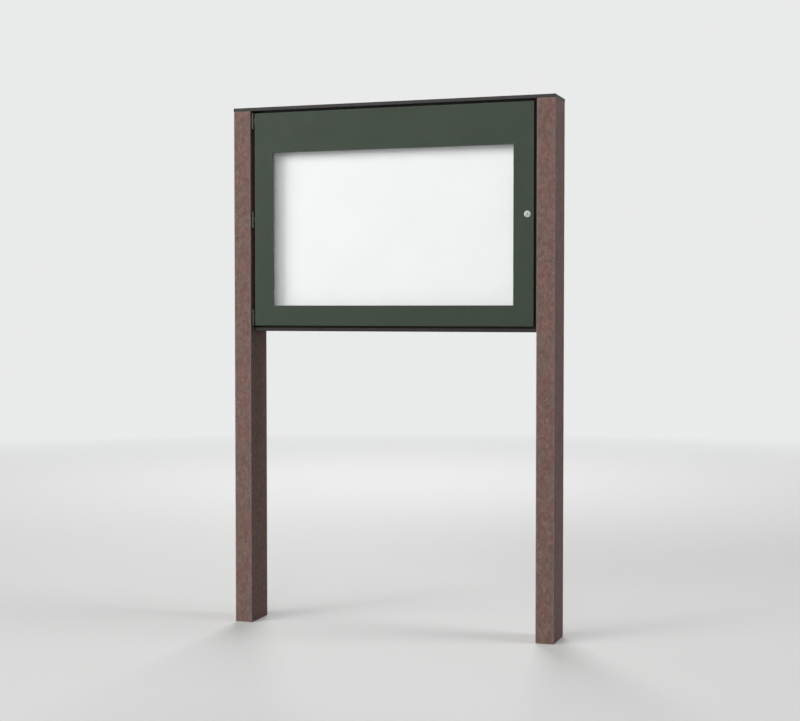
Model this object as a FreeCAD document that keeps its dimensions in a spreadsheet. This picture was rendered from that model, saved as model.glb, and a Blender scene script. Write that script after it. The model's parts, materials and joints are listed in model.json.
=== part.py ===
# Lockable notice board: a glazed cabinet hung between two posts, with a hinged door and a cam lock.
# Millimetres. X runs along the board, its front faces -Y, Z is up.
# The origin is on the ground, midway between the posts and at the middle of their depth.

import FreeCAD, Part
import Sketcher
import os
import re

# Driving sizes: name, value, what it is
driving_sizes = [
    ("overall_height", 2000, "ground to the top of the cap"),
    ("overall_width", 1275, "across the outer faces of the posts"),
    ("post_width", 70, "post section along X"),
    ("post_depth", 150, "post section along Y"),
    ("post_edge", 3, "rounding of the posts' long edges"),
    ("foot_bore_radius", 11, "bore for a ground rod in each foot"),
    ("foot_bore_depth", 200, "depth of that bore"),
    ("cap_height", 13, "height of the cap's folded edge"),
    ("cap_sheet", 2, "cap sheet thickness"),
    ("cap_relief", 4, "open corner between two folded edges of the cap"),
    ("packer_margin", 1, "room round each packer inside the cap"),
    ("door_side_gap", 12.5, "door to each post"),
    ("door_height", 820, "door leaf height"),
    ("door_depth", 22, "depth of the door's folded edges"),
    ("door_sheet", 2, "door sheet thickness"),
    ("door_lip", 14, "inward lip at the back of the door's edges"),
    ("door_edge", 2.5, "outer bend radius of the door"),
    ("door_recess", 11, "door front behind the posts' front faces"),
    ("door_top_gap", 8, "door to cap"),
    ("rail_gap", 7, "door to the bottom rail"),
    ("rail_height", 14, "folded front edge of the case bottom"),
    ("rail_setback", 10, "that edge behind the door's front"),
    ("window_low_border", 77.5, "door below the window"),
    ("window_top_border", 154.5, "door above the window"),
    ("case_sheet", 2, "case sheet thickness"),
    ("case_recess", 11, "case back in front of the posts' back faces"),
    ("case_side_gap", 1.5, "case bottom and back to each post"),
    ("case_lip", 20, "back edge of the case top"),
    ("stop_margin", 1.5, "stops past the seal"),
    ("stop_foot", 14, "foot of the bottom stop"),
    ("seal_space", 4, "door back to the stops"),
    ("seal_clearance", 0.3, "seal to the closed door"),
    ("seal_width", 10, "width of the door seal"),
    ("seal_inset", 2, "seal inside the door's outline"),
    ("display_setback", 45, "display face behind the door's front"),
    ("display_thickness", 3, "display panel"),
    ("display_clearance", 1, "display panel to the case on each side"),
    ("angle_width", 20, "legs of the angles behind the display"),
    ("angle_sheet", 2, "thickness of those angles"),
    ("angle_inset", 10, "angles short of the case at each end"),
    ("stiffener_width", 20, "flanges of the channel at mid span"),
    ("glass_thickness", 4, "window pane"),
    ("glass_lap", 20, "pane behind the door sheet all round"),
    ("gasket_thickness", 2, "gasket between sheet and pane"),
    ("gasket_inset", 1, "gasket back from the window's edge"),
    ("retainer_sheet", 1.5, "pane retainers"),
    ("retainer_lap", 14, "retainer over the pane"),
    ("retainer_foot", 14, "retainer on the door sheet"),
    ("retainer_gap", 1, "pane edge to the retainer"),
    ("retainer_room", 3, "retainer to the lock nut"),
    ("stud_radius", 2, "welded studs and the lock's cam screw"),
    ("stud_length", 8, "welded studs"),
    ("stud_nut_radius", 4, "corner radius of their nuts"),
    ("stud_nut_height", 3.2, "their nuts"),
    ("hinge_height", 62, "each hinge"),
    ("leaf_margin", 1, "hinge leaves in front of the door's back"),
    ("leaf_thickness", 2, "hinge leaf"),
    ("knuckle_radius", 5, "hinge knuckle"),
    ("knuckle_gap", 0.3, "between knuckles along the pin"),
    ("pin_radius", 2.5, "hinge pin"),
    ("pin_head_radius", 3.6, "pin ends"),
    ("pin_head_height", 1.2, "pin ends"),
    ("running_clearance", 0.05, "radial clearance of what turns"),
    ("hinge_setback", 1, "pin axis behind the door's front"),
    ("lock_room", 0.5, "lock body to the door's lip"),
    ("lock_rim_lap", 3, "lock face past the lock body"),
    ("lock_rim_height", 2.5, "lock face in front of the door"),
    ("lock_rim_edge", 1.2, "rounding of the lock face"),
    ("lock_body_radius", 9.5, "lock body"),
    ("lock_nut_wall", 4, "lock nut's corners past the lock body"),
    ("lock_nut_height", 5, "lock nut"),
    ("plug_radius", 7, "turning plug"),
    ("plug_recess", 0.6, "plug behind the lock face"),
    ("keyway_width", 1.8, "slot for the key"),
    ("keyway_length", 9, "slot for the key"),
    ("keyway_depth", 12, "slot for the key"),
    ("plug_square", 8, "square end of the plug, across flats"),
    ("cam_width", 14, "cam"),
    ("cam_end_gap", 5.5, "tip of the turned cam to the case side"),
    ("cam_thickness", 2.5, "cam"),
    ("cam_clearance", 0.5, "cam to the keeper plate"),
    ("keeper_thickness", 1.5, "keeper plate behind the right stop"),
    ("keeper_height", 70, "keeper plate"),
    ("screw_clearance", 0.1, "radial clearance of screws in their holes"),
    ("cap_screw_shank", 2.5, "radius of the cap screws"),
    ("cap_screw_head", 4.2, "radius of their flat heads"),
    ("cap_screw_length", 60, "cap screws"),
    ("cap_screw_spread", 90, "between the two screws on one post"),
    ("hinge_screw_shank", 2, "radius of the hinge screws"),
    ("hinge_screw_head", 3.6, "radius of their flat heads"),
    ("hinge_screw_length", 35, "hinge screws"),
    ("hinge_hole_spread", 40, "between the two holes of a leaf"),
    ("case_screw_shank", 3, "radius of the case screws"),
    ("case_screw_head", 6, "radius of their round heads"),
    ("case_screw_height", 3.5, "their heads"),
    ("case_screw_length", 55, "case screws"),
    ("case_screw_inset", 60, "end screws to the ends of the case side"),
    ("case_screw_offset", 30, "case screws behind the posts' mid depth"),
    ("small_screw_shank", 2, "radius of the small screws"),
    ("small_screw_head", 4, "radius of their round heads"),
    ("small_screw_height", 2.4, "their heads"),
    ("small_screw_length", 9, "small screws"),
    ("back_screw_inset", 50, "end screws to the ends of the case back"),
    ("rivet_shank", 2, "radius of the rivets in the door leaves"),
    ("rivet_head", 3.8, "their round heads"),
    ("rivet_height", 1.4, "their round heads"),
    ("rivet_tail", 3, "radius of their set ends"),
]

# Places worked out from the driving sizes
derived_places = [
    ("post_inner", "overall_width / 2 - post_width"),
    ("post_middle", "overall_width / 2 - post_width / 2"),
    ("post_front", "-post_depth / 2"),
    ("post_back", "post_depth / 2"),
    ("post_top", "overall_height - cap_height"),
    ("cap_underside", "overall_height - cap_sheet"),
    ("case_side_top", "cap_underside - case_sheet"),
    ("door_side", "post_inner - door_side_gap"),
    ("door_front", "post_front + door_recess"),
    ("door_sheet_back", "door_front + door_sheet"),
    ("door_back", "door_front + door_depth"),
    ("door_top", "post_top - door_top_gap"),
    ("door_bottom", "door_top - door_height"),
    ("rail_top", "door_bottom - rail_gap"),
    ("rail_bottom", "rail_top - rail_height"),
    ("rail_front", "door_front + rail_setback"),
    ("stop_front", "door_back + seal_space"),
    ("stop_back", "stop_front + case_sheet"),
    ("stop_lap", "seal_inset + seal_width + stop_margin"),
    ("stop_inner", "door_side - stop_lap"),
    ("stop_high", "door_top - stop_lap"),
    ("stop_low", "door_bottom + stop_lap"),
    ("case_outer", "post_inner - case_side_gap"),
    ("case_back", "post_back - case_recess"),
    ("case_back_inner", "case_back - case_sheet"),
    ("web_inner", "post_inner - case_sheet"),
    ("display_front", "door_front + display_setback"),
    ("display_back", "display_front + display_thickness"),
    ("display_side", "web_inner - display_clearance"),
    ("lock_x", "door_side - door_lip - lock_room - lock_body_radius"),
    ("lock_z", "(door_top + door_bottom) / 2"),
    ("lock_face", "door_front - lock_rim_height"),
    ("lock_rim_radius", "lock_body_radius + lock_rim_lap"),
    ("lock_nut_radius", "lock_body_radius + lock_nut_wall"),
    ("retainer_web", "retainer_gap + retainer_sheet"),
    ("retainer_hole", "retainer_web + retainer_foot / 2"),
    ("retainer_end", "lock_x - lock_nut_radius - retainer_room"),
    ("window_side", "retainer_end - retainer_foot - retainer_web - glass_lap"),
    ("window_low", "door_bottom + window_low_border"),
    ("window_high", "door_top - window_top_border"),
    ("gasket_front", "door_sheet_back"),
    ("glass_front", "gasket_front + gasket_thickness"),
    ("glass_back", "glass_front + glass_thickness"),
    ("glass_side", "window_side + glass_lap"),
    ("glass_low", "window_low - glass_lap"),
    ("glass_high", "window_high + glass_lap"),
    ("hinge_x", "-post_inner + knuckle_radius"),
    ("hinge_y", "door_front + hinge_setback"),
    ("leaf_front", "hinge_y + knuckle_radius + 2 * knuckle_gap"),
    ("leaf_back", "door_back - leaf_margin"),
    ("hinge_hole_y", "(leaf_front + leaf_back) / 2"),
    ("cam_length", "web_inner - lock_x - cam_end_gap"),
    ("cam_front", "stop_back + keeper_thickness + cam_clearance"),
    ("cam_back", "cam_front + cam_thickness"),
    ("lock_back", "cam_front - 2 * running_clearance"),
    ("back_screw_x", "(stop_inner + post_inner) / 2"),
    ("panel_screw_x", "web_inner - angle_width / 2"),
]

doc = FreeCAD.newDocument("notice_board")
sheet = doc.addObject("Spreadsheet::Sheet", "Sizes")
for row, (alias, size, note) in enumerate(driving_sizes, start=1):
    sheet.set(f"A{row}", alias)
    sheet.set(f"B{row}", str(size))
    sheet.set(f"C{row}", note)
    sheet.setAlias(f"B{row}", alias)
doc.recompute()

aliases = {alias for alias, size, note in driving_sizes}
places = {}
word_pattern = re.compile(r"[a-z][a-z_]*")


def expression(formula):
    """A formula in plain words becomes one on the named sizes, with each place spelled out."""

    def spell(match):
        word = match.group()
        if word in places:
            return places[word]
        return f"Sizes.{word}" if word in aliases else word

    return word_pattern.sub(spell, formula)


for place, formula in derived_places:
    places[place] = f"({expression(formula)})"


def number(formula):
    return float(sheet.evalExpression(expression(formula)))


def bind(target, path, formula):
    target.setExpression(path, expression(formula))


# Sketch helpers: an outline is a list of (x, y) formulas, a circle is a tuple (x, y, radius)

pieces = {}
masters = []
normal_sign = {"XY": 1, "XZ": -1, "YZ": 1}


def rectangle(low_x, high_x, low_y, high_y):
    return [(low_x, low_y), (high_x, low_y), (high_x, high_y), (low_x, high_y)]


def hexagon(x, y, radius):
    turns = [f"{60 * side} deg" for side in range(6)]
    return [(f"{x} + {radius} * cos({turn})", f"{y} + {radius} * sin({turn})") for turn in turns]


def fix(sketch, kind, line, end, formula):
    index = sketch.addConstraint(Sketcher.Constraint(kind, line, end, number(formula)))
    bind(sketch, f"Constraints[{index}]", formula)


def draw_outline(sketch, points):
    first = sketch.GeometryCount
    count = len(points)
    spots = [FreeCAD.Vector(number(x), number(y), 0) for x, y in points]
    for start in range(count):
        sketch.addGeometry(Part.LineSegment(spots[start], spots[(start + 1) % count]))
    for start in range(count):
        following = first + (start + 1) % count
        sketch.addConstraint(Sketcher.Constraint("Coincident", first + start, 2, following, 1))
    for start, (x, y) in enumerate(points):
        fix(sketch, "DistanceX", first + start, 1, x)
        fix(sketch, "DistanceY", first + start, 1, y)


def draw_circle(sketch, x, y, radius):
    centre = FreeCAD.Vector(number(x), number(y), 0)
    circle = sketch.addGeometry(Part.Circle(centre, FreeCAD.Vector(0, 0, 1), number(radius)))
    fix(sketch, "DistanceX", circle, 3, x)
    fix(sketch, "DistanceY", circle, 3, y)
    index = sketch.addConstraint(Sketcher.Constraint("Radius", circle, number(radius)))
    bind(sketch, f"Constraints[{index}]", radius)


def new_sketch(body, plane, level, shapes):
    """A sketch on one of the body's own planes, moved along X, Y or Z to the given level."""
    sketch = body.newObject("Sketcher::SketchObject", f"{body.Name}_sketch")
    own_plane = [item for item in body.Origin.OriginFeatures if item.Role == f"{plane}_Plane"][0]
    sketch.AttachmentSupport = [(own_plane, "")]
    sketch.MapMode = "FlatFace"
    bind(sketch, "AttachmentOffset.Base.z", f"{normal_sign[plane]} * ({level})")
    for shape in shapes:
        if isinstance(shape, tuple):
            draw_circle(sketch, *shape)
        else:
            draw_outline(sketch, shape)
    return sketch


def pad(body, plane, start, stop, *shapes):
    """Adds the shapes, carried from start to stop along the plane's own axis."""
    feature = body.newObject("PartDesign::Pad", f"{body.Name}_pad")
    feature.Profile = new_sketch(body, plane, start, shapes)
    feature.Reversed = normal_sign[plane] < 0
    bind(feature, "Length", f"({stop}) - ({start})")
    body.Tip = feature
    doc.recompute()


def pocket(body, plane, start, stop, *shapes):
    """Takes the shapes away from start to stop, and makes sure that something went."""
    before = body.Shape.Volume
    feature = body.newObject("PartDesign::Pocket", f"{body.Name}_pocket")
    feature.Profile = new_sketch(body, plane, start, shapes)
    feature.Reversed = normal_sign[plane] > 0
    bind(feature, "Length", f"({stop}) - ({start})")
    body.Tip = feature
    doc.recompute()
    if not body.Shape.Volume < before - 1e-3:
        raise RuntimeError(f"a pocket of {body.Label} took nothing away")


def round_edges(body, radius, wanted):
    """Rounds the edges that the test picks."""
    dress(body, "PartDesign::Fillet", "Radius", radius, wanted)


def bevel_edges(body, size, wanted):
    """Bevels the edges that the test picks."""
    dress(body, "PartDesign::Chamfer", "Size", size, wanted)


def dress(body, kind, size_name, size, wanted):
    base = body.Tip
    picked = [f"Edge{index}" for index, edge in enumerate(base.Shape.Edges, start=1) if wanted(edge)]
    if not picked:
        raise RuntimeError(f"no edge of {body.Label} was picked")
    feature = body.newObject(kind, f"{body.Name}_edges")
    feature.Base = (base, picked)
    bind(feature, size_name, size)
    body.Tip = feature
    doc.recompute()


def new_body(name):
    body = doc.addObject("PartDesign::Body", name)
    body.Label = name
    pieces[name] = body
    return body


def along(axis):
    """A test for straight edges along one axis."""

    def test(edge):
        if edge.Curve.TypeId != "Part::GeomLine":
            return False
        return abs(abs(edge.tangentAt(edge.FirstParameter).dot(axis)) - 1) < 1e-6

    return test


def rim(axis, level, radius):
    """A test for circles of one radius, square to one axis at one level."""

    def test(edge):
        if edge.Curve.TypeId != "Part::GeomCircle":
            return False
        height = edge.Curve.Center.dot(axis)
        return abs(height - number(level)) < 1e-4 and abs(edge.Curve.Radius - number(radius)) < 1e-4

    return test


axis_x = FreeCAD.Vector(1, 0, 0)
axis_y = FreeCAD.Vector(0, 1, 0)
axis_z = FreeCAD.Vector(0, 0, 1)


def sided(side, near, far):
    """The stretch between two distances from the middle, on the left (-1) or the right (1)."""
    return (near, far) if side > 0 else (f"-({far})", f"-({near})")


def mirrored(side, points):
    return [(f"{side} * ({x})", y) for x, y in points]


# Fasteners: one master of each kind, then a group of placed copies

def master_screw(name, outline, recess_top, recess_radius, recess_depth):
    """Revolves the half outline about Z, then cuts the six-sided recess of the head."""
    body = doc.addObject("PartDesign::Body", name)
    masters.append(body)
    feature = body.newObject("PartDesign::Revolution", f"{name}_turned")
    sketch = new_sketch(body, "XZ", "0", [outline])
    feature.Profile = sketch
    feature.ReferenceAxis = (sketch, ["V_Axis"])
    feature.Angle = 360
    body.Tip = feature
    doc.recompute()
    if recess_depth:
        hexagonal = hexagon("0", "0", recess_radius)
        pocket(body, "XY", f"{recess_top} - {recess_depth}", recess_top, hexagonal)
    return body


def flat_head_screw(name, kind):
    """Head flush with the surface at height 0, shank below."""
    head, shank, length = f"{kind}_head", f"{kind}_shank", f"{kind}_length"
    outline = [("0", "0"), (head, "0"), (shank, f"-({head} - {shank})")]
    outline += [(shank, f"-{length} + 2 * {shank}"), ("0", f"-{length}")]
    return master_screw(name, outline, "0", f"0.6 * {shank}", f"0.6 * {shank}")


def round_head_screw(name, kind):
    """Head above height 0, shank below."""
    head, shank, height, length = [f"{kind}_{word}" for word in ("head", "shank", "height", "length")]
    outline = [("0", height), (f"0.6 * {head}", height), (head, f"0.4 * {height}"), (head, "0")]
    outline += [(shank, "0"), (shank, f"-{length} + {shank}"), ("0", f"-{length}")]
    return master_screw(name, outline, height, f"0.8 * {shank}", f"0.6 * {height}")


def rivet(name, grip):
    """Round head above height 0, the gripped sheets below it, then the set end."""
    outline = [("0", "rivet_height"), ("0.5 * rivet_head", "rivet_height")]
    outline += [("rivet_head", "0.3 * rivet_height"), ("rivet_head", "0"), ("rivet_shank", "0")]
    outline += [("rivet_shank", f"-({grip})"), ("rivet_tail", f"-({grip})")]
    outline += [("rivet_tail", f"-({grip}) - 0.8 * rivet_height")]
    tail_end = f"-({grip}) - 1.4 * rivet_height"
    outline += [("rivet_shank", tail_end), ("0", tail_end)]
    return master_screw(name, outline, "0", "0", 0)


def stud_nut(name):
    body = doc.addObject("PartDesign::Body", name)
    masters.append(body)
    bore = ("0", "0", "stud_radius + screw_clearance")
    pad(body, "XY", "0", "stud_nut_height", hexagon("0", "0", "stud_nut_radius"), bore)
    return body


def plain_stud(name):
    body = doc.addObject("PartDesign::Body", name)
    masters.append(body)
    pad(body, "XY", "0", "stud_length", ("0", "0", "stud_radius"))
    bevel_edges(body, "0.25 * stud_radius", rim(axis_z, "stud_length", "stud_radius"))
    return body


def placed_group(name, master, facing, spots):
    """Copies of the master at each spot, its head turned to the facing direction."""
    links = []
    turn = FreeCAD.Rotation(axis_z, facing)
    for spot in spots:
        link = doc.addObject("App::Link", f"{name}_copy")
        link.LinkedObject = master
        link.LinkTransform = False
        link.Placement = FreeCAD.Placement(FreeCAD.Vector(), turn)
        for axis, formula in zip("xyz", spot):
            bind(link, f"Placement.Base.{axis}", formula)
        links.append(link)
    group = doc.addObject("Part::Compound", name)
    group.Label = name
    group.Links = links
    pieces[name] = group
    doc.recompute()


# Where the fasteners sit, shared by the holes and the screws

cap_screw_spots = [(side, f"{end} * cap_screw_spread / 2") for side in (-1, 1) for end in (-1, 1)]
case_screw_low = "(rail_top + case_screw_inset)"
case_screw_rise = "(case_side_top - rail_top - 2 * case_screw_inset) / 3"
case_screw_heights = [f"{case_screw_low} + {step} * {case_screw_rise}" for step in range(4)]
back_screw_low = "(rail_top + back_screw_inset)"
back_screw_rise = "(case_side_top - rail_top - 2 * back_screw_inset) / 3"
back_screw_heights = [f"{back_screw_low} + {step} * {back_screw_rise}" for step in range(4)]
panel_screw_rise = "(case_side_top - rail_top - 2 * back_screw_inset) / 2"
panel_screw_heights = [f"{back_screw_low} + {step} * {panel_screw_rise}" for step in range(3)]
hinges = {
    "lower": "door_bottom",
    "middle": "((door_bottom + door_top) / 2 - hinge_height / 2)",
    "upper": "(door_top - hinge_height)",
}
leaf_hole_steps = [f"hinge_height / 2 + {end} * hinge_hole_spread / 2" for end in (-1, 1)]
hinge_hole_heights = [f"{low} + {step}" for low in hinges.values() for step in leaf_hole_steps]
retainer_spread = [f"{share} * glass_side" for share in (-0.9, -0.3, 0.3, 0.9)]
retainer_heights = [f"glass_low + {share} * (glass_high - glass_low)" for share in (0.25, 0.75)]
retainer_lines = ("glass_low - retainer_hole", "glass_high + retainer_hole")
stud_spots = [(x, z) for z in retainer_lines for x in retainer_spread]
stud_spots += [(f"{side} * (glass_side + retainer_hole)", z) for side in (-1, 1) for z in retainer_heights]


# Posts, packers and cap

def make_posts():
    for name, side in (("left_post", -1), ("right_post", 1)):
        body = new_body(name)
        across = sided(side, "post_inner", "overall_width / 2")
        pad(body, "XY", "0", "post_top", rectangle(*across, "post_front", "post_back"))
        round_edges(body, "post_edge", along(axis_z))
        middle = f"{side} * post_middle"
        pocket(body, "XY", "0", "foot_bore_depth", (middle, "0", "foot_bore_radius"))
        cap_hole = "cap_screw_shank + screw_clearance"
        cap_holes = [(middle, y, cap_hole) for at, y in cap_screw_spots if at == side]
        pocket(body, "XY", "cap_underside - cap_screw_length", "post_top", *cap_holes)
        case_hole = "case_screw_shank + screw_clearance"
        case_holes = [("case_screw_offset", z, case_hole) for z in case_screw_heights]
        reach = sided(side, "post_inner", "post_inner + case_screw_length")
        pocket(body, "YZ", *reach, *case_holes)
        if side < 0:
            radius = "hinge_screw_shank + screw_clearance"
            hinge_holes = [("hinge_hole_y", z, radius) for z in hinge_hole_heights]
            reach = sided(side, "post_inner", "post_inner + hinge_screw_length")
            pocket(body, "YZ", *reach, *hinge_holes)


def make_packers():
    """Packers fill the folded cap over the posts, so the cap screws can't crush it."""
    for name, side in (("left_cap_packer", -1), ("right_cap_packer", 1)):
        body = new_body(name)
        far = "overall_width / 2 - cap_sheet - packer_margin"
        across = sided(side, "post_inner + 2 * packer_margin", far)
        reach = "post_depth / 2 - cap_sheet - packer_margin"
        holes = [(f"{side} * post_middle", y, "cap_screw_shank + screw_clearance")
                 for at, y in cap_screw_spots if at == side]
        pad(body, "XY", "post_top", "cap_underside", rectangle(*across, f"-({reach})", reach), *holes)


def make_cap():
    """A shallow tray of folded sheet, open below, with its corners left open."""
    body = new_body("top_cap")
    side = "overall_width / 2"
    holes = [(f"{at} * post_middle", y, "cap_screw_shank + screw_clearance") for at, y in cap_screw_spots]
    pad(body, "XY", "post_top", "overall_height", rectangle(f"-{side}", side, "post_front", "post_back"))
    inner = f"{side} - cap_sheet"
    inside = rectangle(f"-({inner})", inner, "post_front + cap_sheet", "post_back - cap_sheet")
    pocket(body, "XY", "post_top", "cap_underside", inside)
    pocket(body, "XY", "cap_underside", "overall_height", *holes)
    hole_radius = "cap_screw_shank + screw_clearance"
    bevel_edges(body, "cap_screw_head - cap_screw_shank", rim(axis_z, "overall_height", hole_radius))
    notches = []
    for at in (-1, 1):
        across = sided(at, f"{inner} - cap_relief", inner)
        notches.append(rectangle(*across, "post_front", "post_front + cap_relief"))
        notches.append(rectangle(*across, "post_back - cap_relief", "post_back"))
    pocket(body, "XY", "post_top", "overall_height", *notches)


# The case: two side channels on the posts, top, bottom, back and the bottom stop

def make_case_sides():
    """Each side is a channel: its web on the post, its front edge the door's stop."""
    channel = [
        ("post_inner", "stop_front"), ("stop_inner", "stop_front"), ("stop_inner", "stop_back"),
        ("web_inner", "stop_back"), ("web_inner", "case_back_inner - case_sheet"),
        ("stop_inner", "case_back_inner - case_sheet"), ("stop_inner", "case_back_inner"),
        ("post_inner", "case_back_inner"),
    ]
    for name, side in (("case_left_side", -1), ("case_right_side", 1)):
        body = new_body(name)
        pad(body, "XY", "rail_top", "case_side_top", mirrored(side, channel))
        case_hole = "case_screw_shank + screw_clearance"
        web_holes = [("case_screw_offset", z, case_hole) for z in case_screw_heights]
        pocket(body, "YZ", *sided(side, "web_inner", "post_inner"), *web_holes)
        back_holes = [(f"{side} * back_screw_x", z, "small_screw_shank + screw_clearance")
                      for z in back_screw_heights]
        pocket(body, "XZ", "case_back_inner - case_sheet", "case_back_inner", *back_holes)


def make_case_top():
    """A sheet under the cap, folded down in front as a stop and behind for the back."""
    body = new_body("case_top")
    pad(body, "YZ", "-case_outer", "case_outer",
        rectangle("stop_front", "case_back_inner", "case_side_top", "cap_underside"))
    pad(body, "YZ", "-stop_inner", "stop_inner",
        rectangle("stop_front", "stop_back", "stop_high", "case_side_top"))
    lip = rectangle("case_back_inner - case_sheet", "case_back_inner",
                    "case_side_top - case_lip", "case_side_top")
    pad(body, "YZ", "-stop_inner", "stop_inner", lip)


def make_case_bottom():
    """A sheet folded down in front as the rail under the door, and down behind."""
    body = new_body("case_bottom")
    section = [
        ("rail_front", "rail_top"), ("rail_front", "rail_bottom"),
        ("rail_front + case_sheet", "rail_bottom"), ("rail_front + case_sheet", "rail_top - case_sheet"),
        ("case_back_inner - case_sheet", "rail_top - case_sheet"),
        ("case_back_inner - case_sheet", "rail_bottom"), ("case_back_inner", "rail_bottom"),
        ("case_back_inner", "rail_top"),
    ]
    pad(body, "YZ", "-case_outer", "case_outer", section)

    stop = new_body("bottom_stop")
    stop_section = [
        ("stop_front", "rail_top"), ("stop_front", "stop_low"), ("stop_back", "stop_low"),
        ("stop_back", "rail_top + case_sheet"), ("stop_back + stop_foot", "rail_top + case_sheet"),
        ("stop_back + stop_foot", "rail_top"),
    ]
    pad(stop, "YZ", "-stop_inner", "stop_inner", stop_section)


def make_case_back():
    body = new_body("case_back")
    holes = [(f"{side} * back_screw_x", z, "small_screw_shank + screw_clearance")
             for side in (-1, 1) for z in back_screw_heights]
    outline = rectangle("-case_outer", "case_outer", "rail_bottom", "cap_underside")
    pad(body, "XZ", "case_back_inner", "case_back", outline, *holes)


def make_seal():
    """A flat rubber ring on the stops, which the closed door almost touches."""
    body = new_body("door_seal")
    rings = []
    for inset in ("seal_inset", "(seal_inset + seal_width)"):
        side = f"door_side - {inset}"
        rings.append(rectangle(f"-({side})", side, f"door_bottom + {inset}", f"door_top - {inset}"))
    pad(body, "XZ", "door_back + seal_clearance", "stop_front", *rings)


# The display: a white panel on two angles and a channel

def make_display():
    body = new_body("display_panel")
    holes = [(f"{side} * panel_screw_x", z, "small_screw_shank + screw_clearance")
             for side in (-1, 1) for z in panel_screw_heights]
    low, high = "rail_top + display_clearance", "case_side_top - display_clearance"
    outline = rectangle("-display_side", "display_side", low, high)
    pad(body, "XZ", "display_front", "display_back", outline, *holes)

    angle = [
        ("web_inner", "display_back"), ("web_inner - angle_width", "display_back"),
        ("web_inner - angle_width", "display_back + angle_sheet"),
        ("web_inner - angle_sheet", "display_back + angle_sheet"),
        ("web_inner - angle_sheet", "display_back + angle_width"),
        ("web_inner", "display_back + angle_width"),
    ]
    for name, side in (("left_panel_angle", -1), ("right_panel_angle", 1)):
        support = new_body(name)
        low, high = "rail_top + angle_inset", "case_side_top - angle_inset"
        pad(support, "XY", low, high, mirrored(side, angle))
        hole = "small_screw_shank + screw_clearance"
        holes = [(f"{side} * panel_screw_x", z, hole) for z in panel_screw_heights]
        pocket(support, "XZ", "display_back", "display_back + angle_sheet", *holes)

    stiffener = new_body("panel_stiffener")
    channel = [
        ("0", "display_back"), ("stiffener_width", "display_back"),
        ("stiffener_width", "display_back + angle_sheet"), ("angle_sheet", "display_back + angle_sheet"),
        ("angle_sheet", "case_back_inner - angle_sheet"),
        ("stiffener_width", "case_back_inner - angle_sheet"),
        ("stiffener_width", "case_back_inner"), ("0", "case_back_inner"),
    ]
    pad(stiffener, "XY", "rail_top", "case_side_top - case_lip - display_clearance", channel)


# The door: folded sheet, pane, gasket, retainers, studs and nuts

def make_door():
    body = new_body("door_frame")
    outline = rectangle("-door_side", "door_side", "door_bottom", "door_top")
    pad(body, "XZ", "door_front", "door_back", outline)
    front = number("door_front")
    round_edges(body, "door_edge", lambda edge: any(abs(end.Y - front) < 1e-6 for end in edge.Vertexes))
    inside_lip = rectangle("-(door_side - door_lip)", "door_side - door_lip",
                           "door_bottom + door_lip", "door_top - door_lip")
    pocket(body, "XZ", "door_back - door_sheet", "door_back", inside_lip)
    hollow = rectangle("-(door_side - door_sheet)", "door_side - door_sheet",
                       "door_bottom + door_sheet", "door_top - door_sheet")
    pocket(body, "XZ", "door_sheet_back", "door_back - door_sheet", hollow)
    window = rectangle("-window_side", "window_side", "window_low", "window_high")
    lock_hole = ("lock_x", "lock_z", "lock_body_radius + screw_clearance")
    pocket(body, "XZ", "door_front", "door_sheet_back", window, lock_hole)
    rivet_holes = [("hinge_hole_y", z, "rivet_shank + screw_clearance") for z in hinge_hole_heights]
    pocket(body, "YZ", "-door_side", "-door_side + door_sheet", *rivet_holes)


def make_glazing():
    pane = new_body("glazing")
    outline = rectangle("-glass_side", "glass_side", "glass_low", "glass_high")
    pad(pane, "XZ", "glass_front", "glass_back", outline)

    gasket = new_body("glazing_gasket")
    inner_side = "window_side + gasket_inset"
    inner_low, inner_high = "window_low - gasket_inset", "window_high + gasket_inset"
    inner = rectangle(f"-({inner_side})", inner_side, inner_low, inner_high)
    pad(gasket, "XZ", "gasket_front", "glass_front", outline, inner)


def retainer_section(edge, outward):
    """Z section: one foot over the pane, a web past its edge, one foot on the door sheet.
    Each point is (place across the pane's edge, depth)."""
    lap = f"{edge} - ({outward}) * retainer_lap"
    near = f"{edge} + ({outward}) * retainer_gap"
    far = f"{edge} + ({outward}) * retainer_web"
    toe = f"{edge} + ({outward}) * (retainer_web + retainer_foot)"
    return [
        (lap, "glass_back"), (lap, "glass_back + retainer_sheet"), (far, "glass_back + retainer_sheet"),
        (far, "door_sheet_back + retainer_sheet"), (toe, "door_sheet_back + retainer_sheet"),
        (toe, "door_sheet_back"), (near, "door_sheet_back"), (near, "glass_back"),
    ]


def make_retainers():
    hole = "stud_radius + screw_clearance"
    lying = (("lower_retainer", "glass_low", -1), ("upper_retainer", "glass_high", 1))
    for name, edge, outward in lying:
        body = new_body(name)
        section = [(depth, across) for across, depth in retainer_section(edge, outward)]
        pad(body, "YZ", "-retainer_end", "retainer_end", section)
        holes = [(x, f"{edge} + {outward} * retainer_hole", hole) for x in retainer_spread]
        pocket(body, "XZ", "door_sheet_back", "door_sheet_back + retainer_sheet", *holes)
    for name, side in (("left_retainer", -1), ("right_retainer", 1)):
        body = new_body(name)
        low = "glass_low + retainer_lap + retainer_gap"
        high = "glass_high - retainer_lap - retainer_gap"
        pad(body, "XY", low, high, mirrored(side, retainer_section("glass_side", 1)))
        holes = [(f"{side} * (glass_side + retainer_hole)", z, hole) for z in retainer_heights]
        pocket(body, "XZ", "door_sheet_back", "door_sheet_back + retainer_sheet", *holes)


# The hinges

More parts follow.
